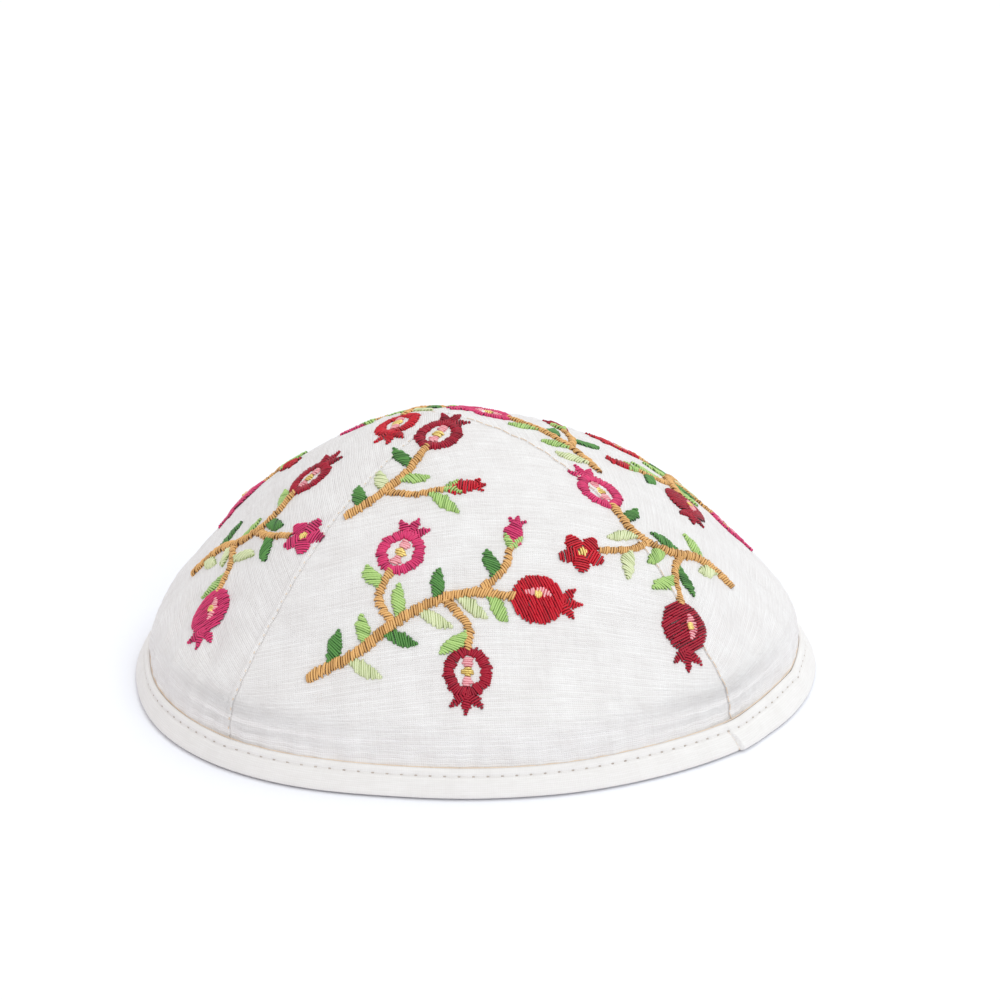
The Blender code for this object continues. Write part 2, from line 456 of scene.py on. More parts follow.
@dataclass(frozen=True)
class ClothFinish:
    """A plain-woven cloth of two close tones: its weave, thick places, streaks and small dents. The weave's low places
    between the threads take the darker tone as painted shade.

    Lengths are in millimetres on the cloth.
    """

    name: str
    light: str
    shade: str
    weft_pitch: float
    warp_pitch: float
    warp_share: float  # of the weave's relief
    relief: float  # of the weave
    slub_length: float
    slub: float  # how strongly the weft's thick places show
    mottle_size: float
    dent_size: float
    dent: float
    roughness: float
    sheen: float

    def bands(self, tree: bpy.types.NodeTree, cloth: bpy.types.NodeSocket, pitch: float, way: str) -> bpy.types.NodeSocket:
        """Draws the threads that lie side by side along one axis."""
        inputs = {"Vector": cloth, "Scale": wave_scale(pitch), "Distortion": 1.4, "Detail": 1.0, "Detail Scale": 0.1}
        return add_node(tree, "ShaderNodeTexWave", inputs, bands_direction=way).outputs["Fac"]

    def patches(self, tree: bpy.types.NodeTree, cloth: bpy.types.NodeSocket, width: float, height: float) -> bpy.types.NodeSocket:
        """Draws noise in patches of about that width and height."""
        size = {"Vector": cloth, "Scale": (1 / width, 1 / height, 1.0)}
        stretched = add_node(tree, "ShaderNodeMapping", size).outputs[0]
        return add_node(tree, "ShaderNodeTexNoise", {"Vector": stretched, "Scale": 1.0, "Detail": 2.0}).outputs[0]

    def material(self) -> bpy.types.Material:
        """Builds the cloth's nodes on its map in millimetres.

        Returns:
            The finished material.
        """
        material, tree, shader = new_material(self.name)
        cloth = add_node(tree, "ShaderNodeUVMap", uv_map="cloth_mm").outputs[0]
        slub = self.patches(tree, cloth, self.slub_length, self.weft_pitch)
        streak = self.patches(tree, cloth, self.warp_pitch, 2 * self.slub_length)
        mottle = self.patches(tree, cloth, self.mottle_size, self.mottle_size)
        dents = self.patches(tree, cloth, self.dent_size, self.dent_size)
        weft = self.bands(tree, cloth, self.weft_pitch, "Y")
        weave = scaled_sum(tree, weft, 1 - self.warp_share, 0.0)
        weave = scaled_sum(tree, self.bands(tree, cloth, self.warp_pitch, "X"), self.warp_share, weave)
        # Painted shade: where the weave lies low, between the threads, the tone goes towards the shade colour.
        tone = scaled_sum(tree, weave, -0.5, -0.25)
        tone = scaled_sum(tree, slub, 1.0, tone)
        tone = scaled_sum(tree, streak, 0.45, tone)
        tone = scaled_sum(tree, mottle, 0.8, tone)
        height = scaled_sum(tree, slub, self.slub, weave)
        height = scaled_sum(tree, dents, self.dent / self.relief, height)
        bump = add_node(tree, "ShaderNodeBump", {"Height": height, "Distance": self.relief * MM})
        tree.links.new(blend(tree, tone, self.light, self.shade), shader.inputs["Base Color"])
        tree.links.new(bump.outputs[0], shader.inputs["Normal"])
        shader.inputs["Roughness"].default_value = self.roughness
        shader.inputs["Specular IOR Level"].default_value = 0.3
        shader.inputs["Sheen Weight"].default_value = self.sheen
        shader.inputs["Sheen Roughness"].default_value = 0.45
        return material


class Cloth(Enum):
    """The cap's two cloths.

    The raw silk's slubbed weft and matt, faintly lustrous face show, and the binding is
    a close, smooth cotton. Both weaves are too fine to show and are drawn coarser: the
    silk's real pitch is 0.35 mm, the cotton's 0.2 mm.
    """

    SILK = ClothFinish(
        "ivory_raw_silk", light="#f9f7f6", shade="#e5e0de", weft_pitch=0.52, warp_pitch=0.5, warp_share=0.34,
        relief=0.11, slub_length=11.0, slub=1.2, mottle_size=8.0, dent_size=3.0, dent=0.42, roughness=0.6,
        sheen=0.12,
    )
    COTTON = ClothFinish(
        "ivory_cotton_binding", light="#f3f0ee", shade="#e7e3e0", weft_pitch=0.42, warp_pitch=0.42, warp_share=0.5,
        relief=0.03, slub_length=5.0, slub=0.6, mottle_size=7.0, dent_size=2.2, dent=0.07, roughness=0.68,
        sheen=0.1,
    )


@dataclass(frozen=True)
class ThreadFinish:
    """Twisted thread. Rayon is lustrous, cotton is matt, and a metal-wrapped one glitters."""

    name: str
    colour: str
    # This colour is that of the darker strands, and painted shade at every strand's sides.
    dark_strand_and_side_shade: str  # of a darker strand, and of its sides
    roughness: float = 0.4
    metallic: float = 0.0
    twist: float = 0.9  # mm along the strand, for each turn of its plies

    def material(self) -> bpy.types.Material:
        """Builds the thread's nodes on each strand's own map and tint, with painted shade: each strand is lighter on
        its top and darker at its sides.

        Returns:
            The finished material.
        """
        material, tree, shader = new_material(self.name)
        strand = add_node(tree, "ShaderNodeUVMap", uv_map="strand_mm").outputs[0]
        stretch = {"Vector": strand, "Scale": (1 / self.twist, 1.0, 1.0)}
        stretched = add_node(tree, "ShaderNodeMapping", stretch).outputs[0]
        inputs = {"Vector": stretched, "Scale": wave_scale(1.0) * math.sqrt(3), "Distortion": 0.4}
        plies = add_node(tree, "ShaderNodeTexWave", inputs, bands_direction="DIAGONAL").outputs["Fac"]
        # Painted shade: the tone falls from the strand's top to its sides and underside, as shade between neighbouring
        # strands.
        round_it = add_node(tree, "ShaderNodeSeparateXYZ", {0: strand}).outputs[1]
        from_top = scaled_sum(tree, round_it, TURN, -TURN / 4)
        top = add_node(tree, "ShaderNodeMath", {0: from_top}, operation="COSINE").outputs[0]
        tint = add_node(tree, "ShaderNodeAttribute", attribute_name="tint").outputs["Fac"]
        tone = scaled_sum(tree, top, 1.3, -0.65)
        tone = scaled_sum(tree, tint, 0.7, tone)
        bump = add_node(tree, "ShaderNodeBump", {"Height": plies, "Strength": 0.5, "Distance": 0.05 * MM})
        tree.links.new(blend(tree, tone, self.dark_strand_and_side_shade, self.colour), shader.inputs["Base Color"])
        tree.links.new(bump.outputs[0], shader.inputs["Normal"])
        shader.inputs["Roughness"].default_value = self.roughness
        shader.inputs["Metallic"].default_value = self.metallic
        shader.inputs["Specular IOR Level"].default_value = 0.35
        return material


class Thread(Enum):
    """The threads that the cap is sewn and embroidered with, and strands that paint shade: the taupe ones in the
    binding's needle holes, and some of the beige ones.
    """

    CRIMSON = ThreadFinish("rayon_crimson", colour="#d4142c", dark_strand_and_side_shade="#640514")
    WINE = ThreadFinish("rayon_wine", colour="#b01030", dark_strand_and_side_shade="#480413")
    MAGENTA = ThreadFinish("rayon_magenta", colour="#e53c76", dark_strand_and_side_shade="#7c123c")
    PINK = ThreadFinish("rayon_pink", colour="#fbb6bb", dark_strand_and_side_shade="#cc6070")
    FOREST = ThreadFinish("rayon_forest_green", colour="#5f9a4c", dark_strand_and_side_shade="#1c4020")
    LEAF = ThreadFinish("rayon_leaf_green", colour="#bbdc86", dark_strand_and_side_shade="#628a42")
    PALE = ThreadFinish("rayon_pale_green", colour="#e6ecc0", dark_strand_and_side_shade="#a0b070")
    TAN = ThreadFinish("rayon_tan", colour="#efba76", dark_strand_and_side_shade="#80501e")
    GOLD = ThreadFinish("metallic_gold", colour="#fbe08c", dark_strand_and_side_shade="#b58e34", roughness=0.3, metallic=0.6)
    IVORY = ThreadFinish("cotton_ivory", colour="#f2efec", dark_strand_and_side_shade="#e0dad5", roughness=0.65)
    # Beige strands serve as seam and lap thread, and as painted shade lines along the binding's upper edge and in a
    # seam's groove.
    BEIGE = ThreadFinish("beige_thread_and_painted_shade", colour="#f3e2d0", dark_strand_and_side_shade="#dfc4a8", roughness=0.65)
    # Strands of this colour sit in the binding's needle holes as painted shade of the holes.
    HOLE_SHADE = ThreadFinish("painted_hole_shade", colour="#cbbfb4", dark_strand_and_side_shade="#a0948a", roughness=0.65)


# The cloth


class Crease(NamedTuple):
    """A crease in the silk: its place, its direction, its size and its depth, in degrees and mm.

    rise is measured up the wall from the foot. A depth below 0 is a valley.
    """

    azimuth: float
    rise: float
    direction: float
    length: float
    width: float
    depth: float


CREASES = (
    Crease(azimuth=-7.0, rise=14.0, direction=78, length=9, width=1.6, depth=-0.35),
    Crease(azimuth=-1.0, rise=12.0, direction=97, length=7, width=1.3, depth=-0.28),
    Crease(azimuth=-9.0, rise=20.0, direction=100, length=8, width=1.5, depth=-0.22),
    Crease(azimuth=-5.0, rise=47.0, direction=60, length=8, width=1.8, depth=-0.35),
    Crease(azimuth=18.0, rise=16.0, direction=12, length=18, width=2.4, depth=0.22),
    Crease(azimuth=-30.0, rise=18.0, direction=60, length=14, width=2.2, depth=-0.28),
    Crease(azimuth=-54.0, rise=22.0, direction=118, length=22, width=3.2, depth=-0.55),
    Crease(azimuth=-62.0, rise=18.0, direction=104, length=20, width=2.6, depth=0.42),
    Crease(azimuth=-70.0, rise=24.0, direction=112, length=24, width=3.4, depth=-0.60),
    Crease(azimuth=-80.0, rise=17.0, direction=75, length=16, width=2.6, depth=0.35),
    Crease(azimuth=62.0, rise=24.0, direction=70, length=22, width=3.6, depth=-0.45),
    Crease(azimuth=74.0, rise=17.0, direction=96, length=15, width=2.6, depth=0.38),
    Crease(azimuth=84.0, rise=26.0, direction=110, length=20, width=3.4, depth=-0.40),
    Crease(azimuth=118.0, rise=20.0, direction=80, length=18, width=3.0, depth=-0.45),
    Crease(azimuth=150.0, rise=24.0, direction=105, length=20, width=3.2, depth=0.35),
    Crease(azimuth=176.0, rise=16.0, direction=84, length=14, width=2.4, depth=-0.40),
    Crease(azimuth=205.0, rise=26.0, direction=66, length=22, width=3.4, depth=-0.45),
    Crease(azimuth=248.0, rise=20.0, direction=98, length=18, width=2.8, depth=0.40),
)


@dataclass
class SilkRelief:
    """How the silk departs from the plain form: soft swells, creases, gathers and sewn edges."""

    form: CapForm
    swell: float = 0.60 * MM
    swell_size: float = 30 * MM
    ripple: float = 0.26 * MM
    ripple_size: float = 10 * MM
    gather: float = 0.28 * MM  # just above the binding, where the stitching draws the silk in
    gather_pitch: float = 6.5 * MM
    gather_reach: float = 8 * MM
    pucker: float = 0.12 * MM  # beside a seam
    pucker_pitch: float = 5.5 * MM
    pucker_reach: float = 4.5 * MM
    ridge_height: float = 0.32 * MM
    ridge_width: float = 1.4 * MM
    edge_drop: float = 0.24 * MM  # how far a panel's sewn edge turns down
    edge_width: float = 0.30 * MM
    apex_calm: float = 9 * MM  # round the apex, where the sewn edges lie flat

    def body(self, azimuth: np.ndarray, level: np.ndarray, points: np.ndarray) -> np.ndarray:
        """Finds the relief that the whole wall shares.

        Args:
            azimuth: The points' azimuths.
            level: Their levels.
            points: Their places on the plain form.

        Returns:
            How far out of the plain form each point stands.
        """
        arc = np.interp(level, self.form.levels, self.form.level_arcs)
        radius = self.form.foot_radius * self.form.section(level)[1]
        relief = self.swell * wobble(points, self.swell_size, 3.7)
        relief += self.ripple * wobble(points, self.ripple_size, 8.1)
        above_band = np.maximum(arc - self.form.band_height, 0.0)
        phase = azimuth * self.form.foot_radius / self.gather_pitch * TURN
        phase += 3.0 * wobble(points, 4 * self.gather_pitch, 1.9)
        relief += self.gather * np.sin(phase) * bell(above_band, self.gather_reach)
        for crease in CREASES:
            x, y = turned_from(azimuth, crease.azimuth) * radius, arc - crease.rise * MM
            cos, sin = math.cos(math.radians(crease.direction)), math.sin(math.radians(crease.direction))
            along, across = x * cos + y * sin, y * cos - x * sin
            across = across + 0.08 * along**2 / (crease.length * MM)
            shape = bell(across, crease.width * MM) * bell(along, crease.length * MM / 2)
            relief += 1.5 * crease.depth * MM * shape
        fade = np.clip(above_band / (2 * MM), 0.0, 1.0)
        return relief * fade * (1 - bell(radius, 4 * MM))

    def sewn_edge(self, distance: np.ndarray, arc: np.ndarray, ridged: bool) -> np.ndarray:
        """Finds the relief beside one seam.

        Args:
            distance: How far each point lies from the seam, along the cloth.
            arc: How far up the wall it lies.
            ridged: Whether this panel lies on top at the seam.

        Returns:
            How far out each point stands.
        """
        puckers = np.sin(arc / self.pucker_pitch * TURN + 2.5 * np.sin(arc / (11 * MM)))
        relief = self.pucker * puckers * bell(distance, self.pucker_reach)
        if ridged:
            inside = 1 / (1 + np.exp((distance - self.ridge_width) / (0.2 * MM)))
            relief += self.ridge_height * inside
        relief -= self.edge_drop * bell(distance, self.edge_width)
        return relief * np.clip((self.form.arc - arc) / self.apex_calm, 0.0, 1.0)


@dataclass
class SilkPanels:
    """The four silk panels, each a closed wall with a sewn edge on either side."""

    form: CapForm
    relief: SilkRelief
    columns: int = 168
    rows: int = 118
    edge_crowding: float = 0.78  # how much closer the columns lie at the seams
    seam_gap: float = 0.03 * MM

    def build(self) -> list[bpy.types.Object]:
        """Builds the panels in place of the frame's plain ones.

        Returns:
            The four pieces.
        """
        silk = Cloth.SILK.value.material()
        pieces = []
        for index, name in enumerate(PANEL_NAMES):
            piece = finish_piece(f"silk_{name}", self.panel_mesh(index, name), silk)
            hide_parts(name)
            pieces.append(piece)
        return pieces

    def panel_mesh(self, index: int, name: str) -> bpy.types.Mesh:
        """Builds one panel: a grid with a second layer, each corner moved to its place.

        Args:
            index: Which panel, counted from the front one.
            name: The node that it stands for.

        Returns:
            The closed mesh, with a map in millimetres.
        """
        bm = bmesh.new()
        bmesh.ops.create_grid(bm, x_segments=self.columns, y_segments=self.rows, size=0.5)
        bmesh.ops.translate(bm, vec=(0.5, 0.5, 0.0), verts=bm.verts)
        inner = bmesh.ops.extrude_face_region(bm, geom=bm.faces[:], use_keep_orig=True)
        inner_corners = [item for item in inner["geom"] if isinstance(item, bmesh.types.BMVert)]
        bmesh.ops.translate(bm, vec=(0.0, 0.0, 1.0), verts=inner_corners)
        shares = np.array([corner.co for corner in bm.verts])
        places, cloth = self.mapped(index, shares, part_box(name)[0].z)
        cloth_map = bm.loops.layers.uv.new("cloth_mm")
        for corner, place in zip(bm.verts, places):
            corner.co = place
        for face in bm.faces:
            for loop in face.loops:
                loop[cloth_map].uv = cloth[loop.vert.index]
        bmesh.ops.remove_doubles(bm, verts=bm.verts, dist=0.001 * MM)
        bmesh.ops.recalc_face_normals(bm, faces=bm.faces)
        mesh = bpy.data.meshes.new(f"silk_{name}")
        bm.to_mesh(mesh)
        bm.free()
        return mesh

    def mapped(self, index: int, shares: np.ndarray, foot: float) -> tuple[np.ndarray, np.ndarray]:
        """Moves a panel's grid to its place on the cap.

        Args:
            index: Which panel.
            shares: For each corner, how far across, up and through the cloth it lies.
            foot: The height of the panel's lower edge.

        Returns:
            The corners' places, and their places on the cloth in millimetres.
        """
        form, relief = self.form, self.relief
        across, up, depth = shares.T
        across = across - self.edge_crowding * np.sin(TURN * across) / TURN
        foot_arc = np.interp(foot, form.level_heights, form.level_arcs)
        arc = foot_arc + (form.arc - foot_arc) * up
        level = form.level_at_arc(arc)
        height, radius_share, _ = form.section(level)
        radius = np.maximum(form.foot_radius * radius_share, self.seam_gap / 4)
        start, end = form.seam_azimuth(index, height), form.seam_azimuth(index + 1, height)
        margin = np.minimum(self.seam_gap / 2 / radius, (end - start) / 2)
        azimuth = start + margin + (end - start - 2 * margin) * across
        points = form.place(azimuth, level)
        body = relief.body(azimuth, level, points)
        edges = relief.sewn_edge((azimuth - start) * radius, arc, SEAMS[index].ridge is Ridge.AFTER)
        next_ridge = SEAMS[(index + 1) % len(SEAMS)].ridge
        edges += relief.sewn_edge((end - azimuth) * radius, arc, next_ridge is Ridge.BEFORE)
        tucked = np.clip((arc - form.band_height) / (1.5 * MM), 0.0, 1.0)
        out = body + edges * tucked * (1 - depth) - form.panel_wall * depth
        places = points + form.normal(azimuth, level) * out[:, None]
        return places, self.cut(azimuth - (start + end) / 2, arc, radius) / MM + np.array((200.0 * index, 0.0))

    def cut(self, aside: np.ndarray, arc: np.ndarray, radius: np.ndarray) -> np.ndarray:
        """Lays a panel out flat, as it is cut from the cloth with its grain up the middle.

        Args:
            aside: The points' azimuths from the panel's middle.
            arc: How far up the wall they lie.
            radius: The wall's radius there.

        Returns:
            Their places on the flat cloth: each level is drawn as an arc with the bend it has on the wall.
        """
        radii = self.form.foot_radius * self.form.section(self.form.levels)[1]
        narrowing = np.clip(-np.gradient(radii, self.form.level_arcs), 0.02, 1.0)
        sine = np.interp(arc, self.form.level_arcs, narrowing)
        turn = aside * sine
        return np.stack([radius / sine * np.sin(turn), arc + radius / sine * (1 - np.cos(turn))], axis=-1)


@dataclass
class RimBinding:
    """The binding: a cotton strip folded round the rim, topstitched, its end lapped over its start."""

    form: CapForm
    stations: int = 1060
    crowding: float = 0.5  # how much closer the stations lie at the lap
    foot_fold: float = 1.0 * MM
    foot_lift: float = 0.45 * MM  # of the outer fold, while the inner one rests on the floor
    inner_height: float = 5.8 * MM
    hug: float = 0.32 * MM  # how far the upper edge leans in to the silk
    hug_height: float = 2.5 * MM
    stitch_line: float = 1.55 * MM  # below the upper edge
    stitch_pitch: float = 3.4 * MM
    stitch_gap: float = 0.9 * MM
    # The length of each beige strand along the strip's upper edge; together they paint the shade line where the silk
    # meets the strip.
    painted_edge_shade_length: float = 7 * MM
    roll: float = 0.10 * MM  # of the upper edge, above the stitching
    groove: float = 0.20 * MM
    groove_width: float = 0.45 * MM
    hole: float = 0.24 * MM
    hole_width: float = 0.42 * MM
    fullness: float = 0.26 * MM  # how far the strip swells between the stitching and the foot
    slackness: float = 0.22 * MM
    slack_size: float = 15 * MM
    seam_bump: float = 0.30 * MM  # where a panel's seam runs under the strip
    seam_bump_width: float = 3.5 * MM
    lap_azimuth: float = 46.0
    lap_rise: float = 0.9 * MM
    lap_length: float = 12 * MM
    lap_slant: float = 1.4 * MM
    lap_slit: float = 0.4 * MM
    kink_azimuth: float = 71.8
    kink: float = 0.8 * MM
    kink_width: float = 2.6 * MM

    def __post_init__(self) -> None:
        """Works out the height of the stitching and the way round the rim."""
        self.line = self.form.band_height - self.stitch_line
        self.outside = self.form.level_across(self.form.band_wall + self.form.fit_gap)
        self.way_round = TURN * self.form.foot_radius
        self.stitch_count = round(self.way_round / self.stitch_pitch)
        self.lap_start = math.radians(self.lap_azimuth) * self.form.foot_radius

    def build(self) -> bpy.types.Object:
        """Builds the binding in place of the frame's plain one.

        Returns:
            The piece.
        """
        piece = finish_piece("cotton_rim_band", self.mesh(), Cloth.COTTON.value.material())
        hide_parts("rim_band")
        return piece

    def profile(self) -> list[tuple[float, float]]:
        """Draws the strip's section once round, as distances out from the panels and heights.

        Returns:
            The corners of the section, in metres.
        """
        form = self.form
        outer_inside = form.level_across(form.fit_gap)
        inner_inside = -form.level_across(form.panel_wall + form.fit_gap)
        inside = -form.level_across(form.panel_wall + form.fit_gap + form.band_wall)
        outside, fold, top, inner_top = self.outside, self.foot_fold, form.band_height, self.inner_height
        half, lift = (outside - outer_inside) / 2, self.foot_lift
        corners = [
            (outside - fold * (1 - math.sin(a)), lift + fold * (1 - math.cos(a))) for a in steps(-30, 90, 8)
        ]
        corners += [(outside, height) for height in np.linspace(lift + fold, top - half, 19)[1:]]
        corners += [
            (outside - half * (1 - math.cos(a)), top - half * (1 - math.sin(a))) for a in steps(0, 180, 9)[1:]
        ]
        corners += [(outer_inside, top / 2), (outer_inside, form.band_wall), (inner_inside, form.band_wall)]
        corners += [(inner_inside, inner_top / 2)]
        corners += [
            (inner_inside - half * (1 - math.cos(a)), inner_top - half * (1 - math.sin(a)))
            for a in steps(0, 180, 7)
        ]
        corners += [(inside, height) for height in np.linspace(inner_top - half, fold, 6)[1:]]
        corners += [(inside + fold * (1 - math.cos(a)), fold * (1 - math.sin(a))) for a in steps(0, 90, 4)[1:]]
        return corners

    def mesh(self) -> bpy.types.Mesh:
        """Spins the section round a plain circle, then moves each corner to the rim.

        Returns:
            The closed mesh, with a map in millimetres.
        """
        circle = 1.0
        bm = bmesh.new()
        profile = [bm.verts.new((circle + out, 0.0, height)) for out, height in self.profile()]
        loop = [bm.edges.new(pair) for pair in zip(profile, profile[1:] + profile[:1])]
        bmesh.ops.spin(bm, geom=profile + loop, cent=(0, 0, 0), axis=(0, 0, 1), angle=TURN,
                       steps=self.stations, use_merge=True)
        corners = np.array([corner.co for corner in bm.verts])
        turn = np.arctan2(corners[:, 1], corners[:, 0])
        azimuth = math.radians(self.lap_azimuth) + turn - self.crowding * np.sin(turn)
        out = np.hypot(corners[:, 0], corners[:, 1]) - circle
        places = self.laid(azimuth, out, corners[:, 2])
        for corner, place in zip(bm.verts, places):
            corner.co = place
        strip = bm.loops.layers.uv.new("cloth_mm")
        for face in bm.faces:
            numbers = [loop.vert.index for loop in face.loops]
            wraps = np.ptp(turn[numbers]) > math.pi
            for loop, number in zip(face.loops, numbers):
                extra = TURN if wraps and turn[number] < 0 else 0.0
                along = (azimuth[number] + extra) * self.form.foot_radius
                loop[strip].uv = (along / MM, (corners[number, 2] + out[number]) / MM)
        bmesh.ops.recalc_face_normals(bm, faces=bm.faces)
        mesh = bpy.data.meshes.new("cotton_rim_band")
        bm.to_mesh(mesh)
        bm.free()
        return mesh

    def laid(self, azimuth: np.ndarray, out: np.ndarray, height: np.ndarray) -> np.ndarray:
        """Places points of the section on the rim, with the strip's own relief.

        Args:
            azimuth: The points' azimuths.
            out: How far out from the panels they lie on the plain section.
            height: Their heights.

        Returns:
            The places, one row each.
        """
        form = self.form
        level = form.level_at_height(height)
        plain = form.place(azimuth, level, out)
        near_top = np.clip(1 - (form.band_height - height) / self.hug_height, 0.0, 1.0)
        shift = np.clip(out / self.outside, 0.0, 1.0) * self.outer_relief(azimuth, height, plain)
        shift -= self.hug * near_top**2 * (out > 0)
        slack = 0.6 * self.slackness * wobble(plain * (1, 1, 0), self.slack_size, 5.3)
        places = form.place(azimuth, level, out + shift)
        places[:, 2] = np.maximum(height + (height / form.band_height) ** 2 * slack, 0.0)
        return places

    def past_lap(self, azimuth: np.ndarray, height: np.ndarray) -> np.ndarray:
        """How far round the rim each point lies past the lap's slanted end, up to half way either way."""
        slant = self.lap_slant * (1 - np.clip(height / self.line, 0.0, 1.0) ** 2)
        return turned_from(azimuth - slant / self.form.foot_radius, self.lap_azimuth) * self.form.foot_radius

    def outer_relief(self, azimuth: np.ndarray, height: np.ndarray, plain: np.ndarray) -> np.ndarray:
        """Finds how far the strip's outer face stands out of its plain section.

        Args:
            azimuth: The points' azimuths.
            height: Their heights.
            plain: Their places on the plain section.

        Returns:
            The distances, measured level.
        """
        form = self.form
        up = np.clip(height / self.line, 0.0, 1.0)
        above = np.clip((height - self.line) / self.stitch_line, 0.0, 1.0)
        along = azimuth * form.foot_radius
        relief = self.fullness * np.sin(math.pi * up) + self.roll * np.sin(math.pi * above)
        relief += self.slackness * wobble(plain, self.slack_size, 2.2) * up
        relief -= self.groove * bell(height - self.line, self.groove_width)
        pitch = self.way_round / self.stitch_count
        to_hole = (along - self.lap_start + pitch / 2) % pitch - pitch / 2
        relief -= self.hole * bell(to_hole, self.hole_width) * bell(height - self.line, self.hole_width)
        for seam in SEAMS:
            aside = turned_from(azimuth, seam.azimuth) * form.foot_radius
            relief += self.seam_bump * bell(aside, self.seam_bump_width) * up
        sharp = np.exp(-np.abs(turned_from(azimuth, self.kink_azimuth)) * form.foot_radius / self.kink_width)
        relief += self.kink * sharp * np.clip(height / form.band_height, 0.0, 1.0)
        past = self.past_lap(azimuth, height)
        below_line = np.clip((self.line - height) / (0.8 * MM), 0.0, 1.0)
        lapped = np.clip(past / (0.35 * MM), 0.0, 1.0) * np.clip(1 - past / self.lap_length, 0.0, 1.0)
        relief += self.lap_rise * lapped * (0.3 + 0.7 * below_line)
        return relief - self.lap_slit * bell(past + 0.15 * MM, 0.25 * MM) * below_line

    def sew(self, needlework: "Needlework", thread: "Thread", along: np.ndarray, height: np.ndarray,
            width: float, lift: float, out: float | None = None) -> None:
        """Lays strands on the strip's outer face.

        Args:
            needlework: What gathers the strands.
            thread: The thread.
            along: How far round the rim each strand's stations lie, strands by stations.
            height: Their heights.
            width: The strands' width.
            lift: How far the strands' middles stand out.
            out: How far out from the panels they lie, if not on the strip's outer face.
        """
        azimuth, heights = (along / self.form.foot_radius).ravel(), height.ravel()
        places = self.laid(azimuth, np.full(len(azimuth), self.outside if out is None else out), heights)
        normals = self.form.normal(azimuth, self.form.level_at_height(heights))
        arch = np.tile(lift * np.sin(math.pi * strand_shares()) ** 0.5, len(along))
        places = places + normals * arch[:, None]
        shape = (*along.shape, 3)
        needlework.add(thread, places.reshape(shape), normals.reshape(shape), width)

    def stitching(self, needlework: "Needlework") -> None:
        """Sews the topstitching with its needle holes, each with a dark strand of painted shade, a beige line of
        painted shade along the upper edge where the silk meets the strip, and the lap.

        Args:
            needlework: What gathers the strands.
        """
        pitch = self.way_round / self.stitch_count
        holes = self.lap_start + np.arange(self.stitch_count)[:, None] * pitch
        shares = strand_shares()[None, :]
        seen = pitch - self.stitch_gap
        level = np.full((len(holes), len(strand_shares())), self.line)
        self.sew(needlework, Thread.IVORY, holes + self.stitch_gap / 2 + seen * shares, level, 0.24 * MM, 0.02 * MM)
        # Painted shade: a short dark strand sunk in each needle hole.
        self.sew(needlework, Thread.HOLE_SHADE, holes + 0.6 * MM * (shares - 0.5), level, 0.34 * MM, 0.04 * MM)
        # Painted shade: beige strands along the upper edge, lying in the shade line where the silk meets the strip.
        starts = np.arange(0.0, self.way_round, self.painted_edge_shade_length)[:, None]
        along = starts + (self.painted_edge_shade_length + 0.4 * MM) * shares
        upper = np.full(along.shape, self.form.band_height - 0.12 * MM)
        self.sew(needlework, Thread.BEIGE, along, upper, 0.36 * MM, 0.0, out=0.30 * MM)
        height = np.linspace(self.line - 0.2 * MM, 0.5 * MM, 5)[:, None] - 0.9 * MM * shares
        height = np.maximum(height, 0.5 * MM)
        along = self.lap_start + self.lap_slant * (1 - (height / self.line) ** 2) - 0.15 * MM
        self.sew(needlework, Thread.BEIGE, along, height, 0.24 * MM, 0.0)


def steps(first: float, last: float, count: int) -> np.ndarray:
    """Evenly spaced angles in radians, from one to another given in degrees."""
    return np.radians(np.linspace(first, last, count))


# Needlework


STRAND_SIDES = 5
STRAND_STEPS = 5


def strand_shares() -> np.ndarray:
    """Where a strand's stations lie along it, closer at its ends, where it turns down."""
    return (1 - np.cos(np.linspace(0.0, math.pi, STRAND_STEPS + 1))) / 2


@dataclass
class StrandSet:
    """Strands of one thread: the stations' places and normals, and how wide the strand is."""

    places: np.ndarray
    normals: np.ndarray
    width: float


